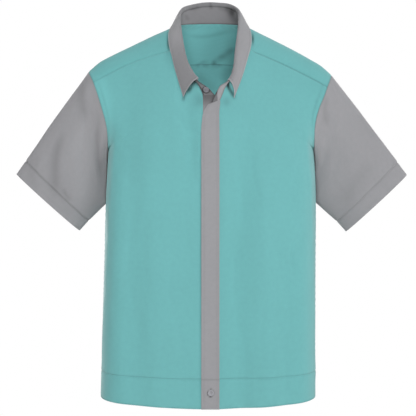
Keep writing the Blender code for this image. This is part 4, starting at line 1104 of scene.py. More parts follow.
def spread(line, factor, first, last):
    """Places along a line of a coarse grid where the cloth is drawn, closer together at its seams."""
    count = len(line) - 1
    lengths = np.linalg.norm(np.diff(line, axis=0), axis=1)
    places = np.linspace(0, count, count * factor + 1)
    if first:
        near = np.array(SEAM_LINES) / lengths[0]
        places = np.concatenate([[0], near, places[places > near[-1] + LINE_CLEAR / factor]])
    if last:
        near = count - np.array(SEAM_LINES)[::-1] / lengths[-1]
        places = np.concatenate([places[places < near[0] - LINE_CLEAR / factor], near, [count]])
    return places


def broken_follow(values, at, breaks):
    """Smooth curve through the values that may turn a corner at the breaks."""
    stops = [0, *breaks, len(values) - 1]
    result = np.empty(at.shape + values.shape[1:])
    for start, stop in zip(stops, stops[1:]):
        inside = (at >= start) & (at <= stop)
        knots = np.arange(start, stop + 1)
        result[inside] = follow(knots, values[start:stop + 1], at[inside])
    return result


def refine(values, rows, columns, row_breaks=(), column_breaks=()):
    """A coarse grid drawn finely. Only its outer edges may turn corners at the breaks."""
    along = follow(np.arange(values.shape[0]), values, rows)
    for column in (0, -1):
        along[:, column] = broken_follow(values[:, column], rows, row_breaks)
    across = np.arange(values.shape[1])
    fine = follow(across, along.swapaxes(0, 1), columns).swapaxes(0, 1)
    for row in (0, -1):
        fine[row] = broken_follow(values[row], columns, column_breaks)
    return fine


def refine_closed(values, rows, factor):
    """The same for rings, which go on from their last column to their first."""
    count = values.shape[1]
    lap = 3
    wrapped = np.concatenate([values[:, -lap:], values, values[:, :lap]], axis=1)
    along = follow(np.arange(len(values)), wrapped, rows)
    columns = np.arange(count * factor) / factor + lap
    return follow(np.arange(count + 2 * lap), along.swapaxes(0, 1), columns).swapaxes(0, 1)


def drawn(kind, coarse, normals=None, plain=None, row_breaks=(), column_breaks=()):
    """A panel and its normals drawn finely, with lines closer at every edge but the plain one."""
    up, across, row, column = FINE[kind]
    row = len(coarse) // 2 if row is None else row
    column = coarse.shape[1] // 2 if column is None else column
    rows = spread(coarse[:, column], up, plain != "foot", True)
    columns = spread(coarse[row], across, plain != "inner", True)
    face = refine(coarse, rows, columns, row_breaks, column_breaks)
    if normals is None:
        return face, outward_normals(face)
    return face, unit(refine(normals, rows, columns, row_breaks, column_breaks))


def travelled(grid, axis, backward=False):
    """Distance of each point from an edge of its grid, over the cloth."""
    steps = np.linalg.norm(np.diff(grid, axis=axis), axis=-1)
    if backward:
        steps = np.flip(steps, axis)
    total = np.cumsum(steps, axis=axis)
    start = np.zeros_like(np.take(total, [0], axis=axis))
    total = np.concatenate([start, total], axis=axis)
    return np.flip(total, axis) if backward else total


def from_edge(grid, edge):
    """Distance in from a named edge, and distance along it, at every point."""
    axis = EDGES.index(edge) // 2
    inward = travelled(grid, axis, backward=edge in ("top", "outer"))
    border = {"foot": grid[0], "top": grid[-1], "inner": grid[:, 0], "outer": grid[:, -1]}[edge]
    along = travelled(border, 0)
    along = along[None, :] if axis == 0 else along[:, None]
    return inward, np.broadcast_to(along, inward.shape)


def away_from(grid, kind):
    """0 at the edges that a kind of piece keeps free and 1 away from them."""
    share = 1
    for edge, span in FREE_EDGES[kind].items():
        share = share * fade(from_edge(grid, edge)[0], *span)
    return share


def beside(grid, edge, width, inset=0.0):
    """1 on a line along an edge of the grid, at a distance in from it, soft to 0 on both sides."""
    return bell(from_edge(grid, edge)[0] - inset, width)


def unevenness(u, v, size, seed):
    """Smooth random hills and hollows between -1 and 1, about one to each square of a size."""
    u = np.asarray(u) / size
    v = np.asarray(v) / size
    first = np.floor([u.min(), v.min()]).astype(int)
    last = np.floor([u.max(), v.max()]).astype(int) + 2
    heights = np.random.default_rng(seed).uniform(-1, 1, last - first)
    row = np.floor(u).astype(int) - first[0]
    column = np.floor(v).astype(int) - first[1]
    right = fade(u - np.floor(u), 0, 1)
    up = fade(v - np.floor(v), 0, 1)
    low = heights[row, column] * (1 - right) + heights[row + 1, column] * right
    high = heights[row, column + 1] * (1 - right) + heights[row + 1, column + 1] * right
    return low * (1 - up) + high * up


def crease_relief(across, height, creases):
    """Summed relief of creases, each from its top to its foot, in the units of its own table. A table
    without a lean has upright creases."""
    total = np.zeros(np.broadcast(across, height).shape)
    for start_a, start_b, end_a, end_b, width, depth, *leans in zip(*creases.values()):
        lean = sum(leans)
        run = np.array([end_a - start_a, end_b - start_b])
        length = np.hypot(*run)
        along = ((across - start_a) * run[0] + (height - start_b) * run[1]) / length**2
        off = ((across - start_a) * run[1] - (height - start_b) * run[0]) / length
        down = np.clip(along, 0, 1)
        bow = CREASE_BOW * length * np.sin(np.pi * down * CREASE_TURNS)
        near = (off - bow) / (width * np.interp(down, (0, 1), CREASE_WIDTH))
        total = total - depth * within(along, CREASE_SPAN) * (1 - lean * near) * bell(near, 1)
    return total


def sleeve_crease_relief(along, turn, length, girth, creases):
    """Relief of a sleeve's creases, with places along and round it turned into millimetres."""
    scale = {"from_along": length, "to_along": length, "from_turn": girth, "to_turn": girth, "width": girth}
    scaled = {name: column * scale.get(name, 1) for name, column in creases.items()}
    return crease_relief(along * length, turn * girth, scaled)


def puckers(grid, kind, seed=0, share=1.0):
    """Small ripples that run away from sewn edges, where the thread drew the cloth together."""
    total = 0
    for edge, height, wave, reach, own in PUCKERS[kind]:
        inward, along = from_edge(grid, edge)
        drift = unevenness(along, along * 0, PUCKER_DRIFT * wave, seed + own)
        swell = unevenness(along, along * 0, PUCKER_SWELL * wave, seed + own + 1)
        size = PUCKER_LEAST + (1 - PUCKER_LEAST) * swell
        ripple = np.sin(2 * np.pi * (along / wave + drift)) * fade(inward, 0, PUCKER_START)
        total = total + share * height * pucker_height() * size * ripple * bell(inward, reach)
    return total


def valleys(grid, *edges):
    """The cloth dips into its seams."""
    return -SEAM_VALLEY["depth"] * sum(beside(grid, edge, SEAM_VALLEY["width"]) for edge in edges)


def stitched(grid, edges, inset, raised=0.0):
    """Grooves of rows of topstitches, and the thicker seam allowance between them and the edges."""
    total = 0
    for edge in edges:
        allowance = 1 - fade(from_edge(grid, edge)[0] - inset, *ALLOWANCE["end"])
        groove = beside(grid, edge, STITCH_GROOVE["width"], inset)
        total = total + raised * allowance - STITCH_GROOVE["depth"] * groove
    return total


def inset_line(face, normals, edge, inset, trim=0.0):
    """Points and normals of a line on the cloth at a distance in from one of its edges."""
    inward, along = from_edge(face, edge)
    both = np.concatenate([face, normals], axis=-1)
    if edge in ("foot", "top"):
        inward, along, both = inward.T, along.T, both.swapaxes(0, 1)
    kept = (along[:, 0] >= trim) & (along[:, 0] <= along.max() - trim)
    line = []
    for distances, values in zip(inward[kept], both[kept]):
        order = np.argsort(distances)
        line.append([np.interp(inset, distances[order], column[order]) for column in values.T])
    line = np.array(line)
    return line[:, :3], unit(line[:, 3:])


def padded(grid, normals, edges, rings, base, closed):
    """A grid with two more rings of points beyond its edges, which roll down through the cloth."""
    row_out = np.zeros_like(grid)
    row_out[0] = unit(grid[0] - grid[1])
    row_out[-1] = unit(grid[-1] - grid[-2])
    column_out = np.zeros_like(grid)
    if not closed:
        column_out[:, 0] = unit(grid[:, 0] - grid[:, 1])
        column_out[:, -1] = unit(grid[:, -1] - grid[:, -2])
    rows = np.concatenate([[0, 0], np.arange(len(grid)), [len(grid) - 1] * 2])
    outs, downs = ring_offsets(len(grid), edges["foot"], edges["top"], rings)
    if closed:
        columns = np.arange(grid.shape[1])
        side_outs = side_downs = np.zeros(len(columns))
    else:
        columns = np.concatenate([[0, 0], np.arange(grid.shape[1]), [grid.shape[1] - 1] * 2])
        side_outs, side_downs = ring_offsets(grid.shape[1], edges["inner"], edges["outer"], rings)
    pick = np.ix_(rows, columns)
    down = outermost(downs[:, None], side_downs[None, :])[..., None]
    rolled = grid[pick] + row_out[pick] * outs[:, None, None] + column_out[pick] * side_outs[None, :, None]
    return rolled - normals[pick] * (base + down)


def outermost(first, second):
    """Of two depths the one that lies further from the sheet's own level."""
    return np.where(np.abs(first) > np.abs(second), first, second)


def ring_offsets(count, start, end, rings):
    """Steps out and down for two rings, the grid's own lines and two more rings."""
    offsets = np.zeros((2, count + 4))
    offsets[:, [1, 0]] = np.transpose(rings[start])
    offsets[:, [-2, -1]] = np.transpose(rings[end])
    return offsets


def edge_rings(thickness):
    """Rings of the face and of the lining for each kind of edge, in millimetres."""
    fold_face, fold_lining = np.array(FOLDED_EDGE) * thickness
    seam_face, seam_lining = np.array(SEAM_EDGE)
    return ({"fold": fold_face, "seam": seam_face},
            {"fold": fold_lining - (0, thickness), "seam": seam_lining})


def shell_mesh(name, face, lining, tone, closed):
    """Closed mesh of a sheet from the grids of its face and lining, with its cloth map and its painted
    light and shade.
    """
    rows, columns = face.shape[:2]
    index = joined(np.arange(rows * columns).reshape(rows, columns), closed)
    corner = index[:-1, :-1], index[:-1, 1:], index[1:, 1:], index[1:, :-1]
    outer = np.stack([part.ravel() for part in corner], axis=1)
    inner = outer[:, ::-1] + rows * columns
    rims = []
    borders = [index[0, ::-1], index[-1]]
    if not closed:
        borders += [index[:, 0], index[::-1, -1]]
    for border in borders:
        pairs = border[:-1], border[1:], border[1:] + rows * columns, border[:-1] + rows * columns
        rims.append(np.stack(pairs, axis=1)[:, ::-1])
    faces = np.concatenate([outer, inner, *rims])
    mesh = bpy.data.meshes.new(name)
    points = np.concatenate([face.reshape(-1, 3), lining.reshape(-1, 3)]) * METRE
    mesh.from_pydata(points.tolist(), [], faces.tolist())
    map_cloth(mesh, face, faces, closed)
    layer = mesh.attributes.new("tone", "FLOAT", "POINT")
    layer.data.foreach_set("value", np.stack(tone).ravel().astype(np.float32))
    mesh.shade_smooth()
    return mesh


def joined(grid, closed):
    """A grid of rings with its first column once more at its end."""
    return np.concatenate([grid, grid[:, :1]], axis=1) if closed else grid


def map_cloth(mesh, face, faces, closed):
    """UV map in metres of cloth: across the weft and up the warp."""
    rows, columns = face.shape[:2]
    ring = joined(face, closed)
    across = travelled(ring, 1)
    upward = travelled(ring, 0)
    flat = faces % (rows * columns)
    row, column = np.divmod(flat, columns)
    if closed:
        wraps = (column.max(axis=1) - column.min(axis=1) > columns // 2)[:, None]
        column = np.where(wraps & (column == 0), columns, column)
    layer = mesh.uv_layers.new(name="cloth")
    places = np.stack([across[row, column], upward[row, column]], axis=-1) * METRE
    layer.data.foreach_set("uv", places.reshape(-1).astype(np.float32))


def line_tone(grid, edge, name, width=TONE_WIDTH, inset=0.0):
    """How much painted shade darkens the cloth along a line beside one of its edges; a negative share
    is painted light.
    """
    return TONE[name] * beside(grid, edge, width, inset)


def seam_tones(grid, **lines):
    """Painted shade along several edges: the name of each edge's tone."""
    return sum(line_tone(grid, edge, name) for edge, name in lines.items())


def stitch_tone(grid, edges, name, inset):
    """Painted shade in rows of stitches along several edges."""
    return sum(line_tone(grid, edge, name, inset=inset) for edge in edges)


def sew_sheet(name, grid, normals, relief, count, slot, folds=(), closed=False,
              darker=0.0, darker_inside=0.0):
    """A sheet of cloth as a thin creased shell of one or two plies, which replaces its solid.
    Darker is the painted shade: the share of its lightness that the cloth loses where shade falls in its
    seams and folds and under another ply; a negative share is painted light."""
    face = grid + normals * relief[..., None]
    around = (0, 0) if closed else (2, 2)
    tone = []
    for whole, lost in ((1, darker), (WRONG_SIDE, darker_inside)):
        kept = whole * (1 - np.clip(np.broadcast_to(lost, relief.shape), *TONE_SPAN))
        tone.append(np.pad(kept, ((2, 2), around), "edge"))
    thickness = plies(count)
    edges = {edge: "fold" if edge in folds else "seam" for edge in EDGES}
    face_rings, lining_rings = edge_rings(thickness)
    outer = padded(face, normals, edges, face_rings, 0.0, closed)
    inner = padded(face, normals, edges, lining_rings, thickness, closed)
    mesh = shell_mesh(name + "_cloth", outer, inner, tone, closed)
    mesh.materials.append(cloth_of(slot))
    piece = placed(name + "_cloth", mesh)
    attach(piece, BODY)
    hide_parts(name)
    return face


# The collar's stand as cloth lies a little inside the solid's wall
STAND_SETBACK = 0.3
# Painted shade on the leaf's front halves past its roll, darker on the half that turns from the light:
# how far from its seam with the stand, from which depth of the front on, and how much by side
LEAF_OUTSIDE = (9.0, 18.0)
LEAF_FRONT = (30.0, 80.0)
LEAF_DARKER = {-1: 0.27, 1: 0.0}
# Shade on the stand's end at the wearer's right, between the two leaf fronts
STAND_END = (62.0, 84.0)
STAND_END_REACH = 14.0
STAND_END_SHADE = 0.48
STAND_RING = 0.5
# Where the collar counts as behind the neck, by its depth
COLLAR_BEHIND = (0.0, 20.0)

# Buttonhole on the hem tab: its slit, and the satin stitches on both sides of it
BUTTONHOLE = {"middle": -716.0, "length": 17.5, "satin": 1.3, "row": 1.7, "pitch": 0.55,
              "width": 1.2, "depth": 0.5, "ends": (0.7, 1.0)}
BUTTON_STITCH = {"pitch": 0.0012, "length": 0.0019}
BUTTON_TIES = []
# Shade of the button on the cloth round it: a ring, a darker crescent and the slit under it
BUTTON_SHADE = {"radius": 6.4, "width": 1.0, "ring": 0.25, "crescent": 0.6, "slit": 0.4}


# ---- materials ----

def linear(hex_colour):
    """Linear colour from an sRGB hex value."""
    parts = [int(hex_colour[start:start + 2], 16) / 255 for start in (1, 3, 5)]
    return tuple(part / 12.92 if part <= 0.04045 else ((part + 0.055) / 1.055) ** 2.4 for part in parts)


def add_node(tree, kind, settings=(), **links):
    """Node of a kind with its properties, and its inputs by name from values, from other sockets or
    from other nodes, which give their first output."""
    node = tree.nodes.new(kind)
    for name, value in dict(settings).items():
        setattr(node, name, value)
    for name, value in links.items():
        join(tree, value, node.inputs[name.replace("_", " ")])
    return node


def join(tree, value, socket):
    """Give a socket its value, or link it to another socket or to a node's first output."""
    if isinstance(value, bpy.types.Node):
        value = value.outputs[0]
    if isinstance(value, bpy.types.NodeSocket):
        tree.links.new(value, socket)
    else:
        socket.default_value = value


def new_material(name):
    """An empty material and its node tree."""
    material = bpy.data.materials.new(name)
    material.use_nodes = True
    material.node_tree.nodes.clear()
    return material, material.node_tree


def finish_material(material, **inputs):
    shader = add_node(material.node_tree, "ShaderNodeBsdfPrincipled", **inputs)
    add_node(material.node_tree, "ShaderNodeOutputMaterial", Surface=shader)
    return material


def cloudy(tree, scale, detail, place=None):
    """Cloudy pattern in the object's own place, or in another one."""
    if place is None:
        place = add_node(tree, "ShaderNodeTexCoord").outputs["Object"]
    return add_node(tree, "ShaderNodeTexNoise", Vector=place, Scale=scale, Detail=detail)


def shaded(tree, pattern, colour, dark, light, stops=(0.0, 1.0)):
    """The colour made darker and lighter by a pattern."""
    shade = add_node(tree, "ShaderNodeValToRGB", Fac=pattern)
    for element, stop, share in zip(shade.color_ramp.elements, stops, (dark, light)):
        element.position = stop
        element.color = (*(min(part * share, 1) for part in colour), 1)
    return shade


def bumped(tree, height, strength, distance):
    return add_node(tree, "ShaderNodeBump", Height=height, Strength=strength, Distance=distance)


def blend_heights(tree, first, second, share):
    """Mix of two grey patterns, with the given share of the second."""
    return add_node(tree, "ShaderNodeMix", {"data_type": "FLOAT"}, Factor=share, A=first, B=second)


# Wave texture: bands to a metre for a scale of one
WAVE_BANDS = 20 / (2 * math.pi)
# Sizes in metres of the patterns of cloth, thread, buttons and paper
TWILL_LINE = 0.0014
TWILL_SLANT = math.radians(58)
YARN = 0.0006
SLUB_LENGTH = 0.011
HEATHER = 0.009
DYE_CLOUD = 0.07
THREAD_FUZZ = 0.0011
RESIN_CLOUD = 0.004
SCUFF = 0.0008
PAPER_MOTTLES = 6.0


def woven_twill(name, colour):
    """Polyester and cotton twill, piece-dyed and pressed: matt, slanted fine lines, a soft bloom on
    its edges and hardly any gloss. The real lines are 0.5 mm apart and are drawn 1.4 mm apart, as
    coarse as they need to show in a close view. The sheet's tone attribute paints shade into it in
    seams, laps and folds, and paints light on a few edges."""
    material, tree = new_material(name)
    cloth = add_node(tree, "ShaderNodeUVMap", {"uv_map": "cloth"})
    slanted = add_node(tree, "ShaderNodeMapping", Vector=cloth, Rotation=(0, 0, TWILL_SLANT))
    twill = add_node(tree, "ShaderNodeTexWave", {"bands_direction": "X"}, Vector=slanted, Detail=1.0,
                     Scale=1 / (TWILL_LINE * WAVE_BANDS), Distortion=0.6, Detail_Scale=1.0)
    yarns = add_node(tree, "ShaderNodeMapping", Vector=cloth, Scale=(1 / YARN, 1 / SLUB_LENGTH, 1))
    slubs = cloudy(tree, 1.0, 2.0, yarns)
    weave = blend_heights(tree, twill.outputs["Fac"], slubs, 0.5)
    heather = cloudy(tree, 1 / HEATHER, 3.0, cloth)
    tones = blend_heights(tree, heather, cloudy(tree, 1 / DYE_CLOUD, 2.0), 0.4)
    shade = shaded(tree, blend_heights(tree, tones, weave, 0.3), colour, 0.955, 1.045, (0.3, 0.7))
    # Painted light and shade of the sheet, read from its tone attribute
    tone = add_node(tree, "ShaderNodeAttribute", {"attribute_name": "tone"}).outputs["Fac"]
    toned = add_node(tree, "ShaderNodeVectorMath", {"operation": "SCALE"}, Vector=shade, Scale=tone)
    return finish_material(material, Base_Color=toned, Roughness=0.86, IOR=1.5,
                           Normal=bumped(tree, weave, 0.35, 0.00018), Specular_IOR_Level=0.25,
                           Sheen_Weight=0.16, Sheen_Roughness=0.5, Diffuse_Roughness=0.6)


def sewing_thread(name, colour):
    """Spun polyester sewing thread: two plies twisted together, a little glossier than the cloth."""
    material, tree = new_material(name)
    shade = shaded(tree, cloudy(tree, 1 / THREAD_FUZZ, 1.0), colour, 0.86, 1.1)
    return finish_material(material, Base_Color=shade, Roughness=0.6, IOR=1.52, Sheen_Weight=0.1,
                           Sheen_Roughness=0.4)


def moulded_polyester(name, colour):
    """Cast polyester button, tumbled to a soft gloss, with faint clouds in its resin."""
    material, tree = new_material(name)
    shade = shaded(tree, cloudy(tree, 1 / RESIN_CLOUD, 3.0), colour, 0.88, 1.1)
    return finish_material(material, Base_Color=shade, Roughness=0.38, IOR=1.54, Coat_Weight=0.15,
                           Normal=bumped(tree, cloudy(tree, 1 / SCUFF, 2.0), 0.1, 0.0001),
                           Coat_Roughness=0.25)


def studio_paper(name, colour):
    """Seamless background paper, rolled out: even, matt and faintly mottled."""
    material, tree = new_material(name)
    shade = shaded(tree, cloudy(tree, PAPER_MOTTLES, 3.0), colour, 0.98, 1.0)
    return finish_material(material, Base_Color=shade, Roughness=0.9)


def material_of(kind, name, colour):
    """The material of a name, made once."""
    return bpy.data.materials.get(name) or kind(name, tuple(colour))


# ---- settings shown in the sidebar ----

def size_setting(name, description, default, least, most, digits=4):
    return FloatProperty(name=name, description=description, default=default, min=least, max=most,
                         unit="LENGTH", precision=digits)


def colour_setting(name, description, hex_colour):
    return FloatVectorProperty(name=name, description=description, subtype="COLOR", size=3, min=0, max=1,
                               default=linear(hex_colour))


class ShirtCloth(bpy.types.PropertyGroup):
    ply: size_setting("Single ply", "Thickness of the shell of one ply of cloth", PLY * METRE, 0.0003, 0.002)
    doubled: size_setting("Doubled cloth", "Thickness of collar, placket and hems", DOUBLED * METRE,
                          0.0005, 0.0025)
    crease: FloatProperty(name="Creases", description="Depth of the creases, as a share of the drawn ones",
                          default=1.0, min=0.0, max=2.0, subtype="FACTOR")
    pucker: size_setting("Seam puckers", "Height of the puckers along the seams", 0.00042, 0.0, 0.0015, 5)
    body_colour: colour_setting("Body cloth", "Colour of fronts, back and yoke", "#629FA0")
    trim_colour: colour_setting("Trim cloth", "Colour of sleeves, collar and placket", "#88888B")


class ShirtSewing(bpy.types.PropertyGroup):
    pitch: size_setting("Stitch pitch", "Distance from one stitch to the next", 0.0032, 0.001, 0.01)
    length: size_setting("Stitch length", "Length of thread that shows on the cloth", 0.0025, 0.0005, 0.009)
    thread: size_setting("Thread radius", "Half the thickness of the sewing thread", 0.00022, 0.00005,
                         0.001, 5)
    body_colour: colour_setting("Body thread", "Thread of the body's seams", "#4E918F")
    trim_colour: colour_setting("Trim thread", "Thread of collar, placket and sleeves", "#7C7C80")
    button_colour: colour_setting("Hem button", "Colour of the button on the hem tab", "#8C8C91")
    # Painted shade: the stand's button is the same as the hem's, drawn darker for the shade in the neck
    stand_button_colour: colour_setting("Stand button", "Colour of the darker button in the neck", "#727278")


class ShirtStage(bpy.types.PropertyGroup):
    floor: size_setting("Floor", "Height of the floor under the shirt as it is worn", -1.45, -3.0, -0.8, 2)
    distance: size_setting("Camera distance", "From the camera to the middle of the shirt", 3.0, 1.0, 10.0, 2)
    paper: colour_setting("Paper", "Colour of the floor", "#EEEEEC")


def settings():
    scene = bpy.context.scene
    return scene.shirt_cloth, scene.shirt_sewing, scene.shirt_stage


# ---- what every piece is told ----

SEWN_LINES = {"body": [], "trim": []}


def cloth_of(slot):
    """The cloth of the body or of the trim, by the name of its slot."""
    cloth, _, _ = settings()
    if slot == "body_cloth":
        return material_of(woven_twill, "poly_cotton_twill_teal", cloth.body_colour)
    return material_of(woven_twill, "poly_cotton_twill_grey", cloth.trim_colour)


def plies(count):
    cloth, _, _ = settings()
    return (cloth.ply if count == 1 else cloth.doubled) / METRE


def crease_share():
    return settings()[0].crease


def pucker_height():
    return settings()[0].pucker / METRE


def sew_lines(cloth, face, normals, edges, inset, trim=0.0):
    """Keep rows of topstitches for the stitching, just on top of the cloth."""
    for edge in edges:
        SEWN_LINES[cloth].append(inset_line(face, normals, edge, inset, trim))


# ---- the body ----

def soft_waves(kind, u, v, seed=0):
    """Slow unevenness of one kind of piece, in millimetres."""
    *waves, first = WAVES[kind]
    return sum(height * unevenness(u, v, size, first + seed + own)
               for own, (height, size) in enumerate(waves))


def armhole_share(face):
    """0 beside the side seam, 1 beside the armhole."""
    return fade(face[..., 2] - UNDERARM, *ARMHOLE_FROM)


def side_relief(face, edge):
    """Raised seam allowance of the armhole and its row of stitches."""
    return stitched(face, (edge,), ARMHOLE_STITCH, ALLOWANCE["armhole"]) * armhole_share(face)


def side_tone(face, edge):
    """Painted shade in the side seam and, above it, in the armhole and its row of stitches."""
    armhole = armhole_share(face)
    above = line_tone(face, edge, "armhole") + stitch_tone(face, (edge,), "armhole_stitch", ARMHOLE_STITCH)
    return line_tone(face, edge, "side") * (1 - armhole) + above * armhole


def sew_armhole(face, ups, edge):
    """Topstitches beside the armhole, which end at the underarm."""
    border = face[:, -1 if edge == "outer" else 0]
    keep = border[:, 2] > UNDERARM + ARMHOLE_ROW_FROM
    sew_lines("body", face[keep], ups[keep], (edge,), ARMHOLE_STITCH)


def under_leaf(x, z, side):
    """How dark the front is where the collar leaf shades it: most under its arched front edge."""
    total = np.zeros(x.shape)
    for mark_side, mark_x, mark_z, across, down, share in zip(*LEAF_SHADE.values()):
        if mark_side == side:
            total = total + share * bell(x - mark_x, across) * bell(z - mark_z, down)
    return total - crease_relief(x, z, LEAF_LINES)


def front_tone(face, side):
    """Painted shade on a front: lines along its seams and armhole stitching, and the shadow of collar and
    placket; painted light along the side of the wearer's right front.
    """
    x, z = face[..., 0], face[..., 2]
    name = side_name(side)
    total = side_tone(face, "outer") + seam_tones(face, foot="band", top="yoke_" + name)
    # Painted light in a strip along the side of the wearer's right front
    total = total + line_tone(face, "outer", "rubbed_" + name, PAINTED_LIGHT_STRIP["width"], PAINTED_LIGHT_STRIP["inset"])
    if side < 0:
        edge, top = PLACKET_EDGES["right_x"][0], PLACKET_EDGES["right_z"][0]
        total = total + TONE["placket"] * bell(x - edge, TONE_WIDTH) * (z < top)
    return total + under_leaf(x, z, side)


def make_front(side):
    """One front: creased, with its seams drawn in at the yoke, the armhole, the side and the hem band."""
    grid, normals = front_panel(side)
    coarse = part_side_seams(part_ends(grid), (-1,))
    face, ups = drawn("front", coarse, normals, "inner", (BODY_ROWS,), (NECK_COLUMNS,))
    x, z = face[..., 0], face[..., 2]
    free = away_from(face, "front")
    relief = crease_share() * crease_relief(x, z, FRONT_CREASES) * free
    relief = relief + soft_waves("front", x, z, side) * free
    relief = relief + puckers(face, "front", side) + valleys(face, "outer", "foot", "top")
    relief = relief + side_relief(face, "outer")
    face = sew_sheet("front_" + side_name(side), face, ups, relief, 1, "body_cloth",
                     ("inner",), darker=front_tone(face, side))
    sew_armhole(face, ups, "outer")


def inside_tone(face):
    """Painted shade along the seam and in the gathers and folds of the back's wrong side, which the open
    neck shows.
    """
    x, y, z = face[..., 0], face[..., 1], face[..., 2]
    folds = -crease_relief(x, z, INSIDE_SHADES) * (y > 0)
    return folds + line_tone(face, "top", "back_yoke")


def make_back():
    """The back, from one side seam to the other."""
    grid, normals = back_panel()
    coarse = part_side_seams(part_ends(grid), (0, -1))
    face, ups = drawn("back", coarse, normals, row_breaks=(BODY_ROWS,))
    x, z = face[..., 0], face[..., 2]
    free = away_from(face, "back")
    creases = crease_share() * crease_relief(x, z, BACK_CREASES) * free
    relief = creases + soft_waves("back", x, z) * free
    relief = relief + puckers(face, "back") + valleys(face, *EDGES)
    # Painted shade along the seams and in the creases
    darker = seam_tones(face, foot="band", top="back_yoke") - CREASE_TONE * creases
    for edge in ("inner", "outer"):
        relief = relief + side_relief(face, edge)
        darker = darker + side_tone(face, edge)
    face = sew_sheet("back", face, ups, relief, 1, "body_cloth",
                     darker=darker, darker_inside=inside_tone(face))
    for edge in ("inner", "outer"):
        sew_armhole(face, ups, edge)


def make_hem_band(name, grid, ends, seed):
    """A stretch of the doubled band round the hem, with side seams at the ends: column and side."""
    sides = ("inner", "outer") if len(ends) == 2 else ("outer",)
    folds = ("top",) if len(ends) == 2 else ("top", "inner")
    normals = outward_normals(grid)
    if "inner" in folds:
        normals = upright(normals)
    for column, side in ends.items():
        normals[:, column] = (side, 0, 0)
    coarse = part_side_seams(grid, ends)
    face, ups = drawn("hem_band", coarse, normals, folds[-1])
    relief = soft_waves("hem_band", face[..., 0], face[..., 2], seed)
    relief = relief + puckers(face, "hem_band", seed) + valleys(face, "foot", *sides)
    relief = relief + stitched(face, ("foot", "top"), HEM_STITCH)
    darker = seam_tones(face, top="band", **dict.fromkeys(sides, "side"))
    face = sew_sheet(name, face, ups, relief, 2, "body_cloth", folds, darker=darker)
    sew_lines("body", face, ups, ("foot", "top"), HEM_STITCH)


def make_yoke():
    """The yoke over both shoulders, from the forward seams to the one across the back."""
    grid, normals = yoke_panel()
    coarse = grid.copy()
    corner = 2 * YOKE_TURNS - 2
    back = slice(corner, -1 - corner)
    coarse[-1, back] = drawn_in(grid[-1, back], grid[-2, back])
    for column, next_to in ((0, 1), (-1, -2)):
        coarse[:, column] = drawn_in(grid[:, column], grid[:, next_to])
    breaks = (corner, coarse.shape[1] - 1 - corner)
    face, ups = drawn("yoke", coarse, normals, "foot", column_breaks=breaks)
    x, y = face[..., 0], face[..., 1]
    relief = soft_waves("yoke", x, y) * away_from(face, "yoke")
    relief = relief + puckers(face, "yoke") + valleys(face, "inner", "outer", "top")
    relief = relief + stitched(face, ("inner", "outer"), YOKE_STITCH)
    # Painted shade along the yoke's seams and where the collar leaf shades it
    darker = seam_tones(face, inner="yoke_right", outer="yoke_left", top="armhole")
    darker = darker + line_tone(face, "foot", "stand_seam", 2 * TONE_WIDTH)
    for side in (-1, 1):
        darker = darker + under_leaf(x, face[..., 2], side) * (x * side > 0) * (y < 0)
    face = sew_sheet("yoke", face, ups, relief, 1, "body_cloth",
                     ("foot",), darker=darker,
                     darker_inside=inside_tone(face))
    sew_lines("body", face, ups, ("inner", "outer"), YOKE_STITCH)


# ---- the sleeves ----

def make_sleeve(side, hem):
    """A set-in sleeve or the turned-up hem round its opening: a tube with its seam at the underside."""
    if hem:
        alongs = np.linspace(SLEEVE_HEM_FROM + SLEEVE_GAP_SHARE, 1, SLEEVE_HEM_RINGS)
    else:
        alongs = np.linspace(0, 1, SLEEVE_RINGS) ** SLEEVE_CROWDING * SLEEVE_HEM_FROM
    rings, normals = sleeve_panel(side, alongs)
    rows = np.arange(len(alongs))
    face = refine_closed(rings, rows, SLEEVE_AROUND)
    ups = unit(refine_closed(normals, rows, SLEEVE_AROUND))
    girth = np.linalg.norm(face[0] - np.roll(face[0], 1, axis=0), axis=-1).sum()
    length = travelled(face, 0)[-1].mean() / (alongs[-1] - alongs[0])
    turns = sleeve_turns(side, face.shape[1])[None]
    along = alongs[:, None]
    name = side_name(side)
    seed = side + (20 if hem else 0)
    relief = crease_share() * sleeve_crease_relief(along, turns, length, girth, SLEEVE_CREASES[name])
    relief = relief + soft_waves("sleeve", along * length, turns * girth, seed)
    round_seam = np.minimum(turns, 1 - turns) * girth
    relief = relief * fade(round_seam, *UNDERSIDE_SEAM["free"])
    relief = relief - UNDERSIDE_SEAM["depth"] * bell(round_seam, UNDERSIDE_SEAM["width"])
    below_head = away_from(face, "sleeve")
    shades = -crease_relief(face[..., 0], face[..., 2], SLEEVE_SHADES) * fade(-face[..., 1], *SLEEVE_FRONT)
    seam_tone = "sleeve_hem_" + name
    if hem:
        relief = relief + stitched(face, ("foot",), HEM_STITCH) + valleys(face, "foot")
        darker = shades + line_tone(face, "foot", seam_tone)
    else:
        relief = relief * below_head + valleys(face, "foot", "top")
        darker = shades + seam_tones(face, foot="sleeve_head", top=seam_tone)
    relief = relief + puckers(face, "sleeve", seed) - SLEEVE_SHADE_RELIEF * shades * below_head
    piece, held_by = ("sleeve_hem_" + name, "sleeve_" + name) if hem else ("sleeve_" + name, "yoke")
    face = sew_sheet(piece, face, ups, relief, 2 if hem else 1, "trim_cloth",
                     EDGES if hem else (), True, darker)
    if hem:
        sew_lines("trim", joined(face, True), joined(ups, True), ("foot",), HEM_STITCH)


def sleeve_turns(side, count):
    """How far round the sleeve each fine column lies: 0 and 1 at the underside, 0.5 on top."""
    front, back = armhole_turns(side)
    coarse = np.concatenate([front, 2 * math.pi - back, [2 * math.pi]]) / (2 * math.pi)
    return np.interp(np.arange(count) / SLEEVE_AROUND, np.arange(len(coarse)), coarse)


# ---- the closing ----

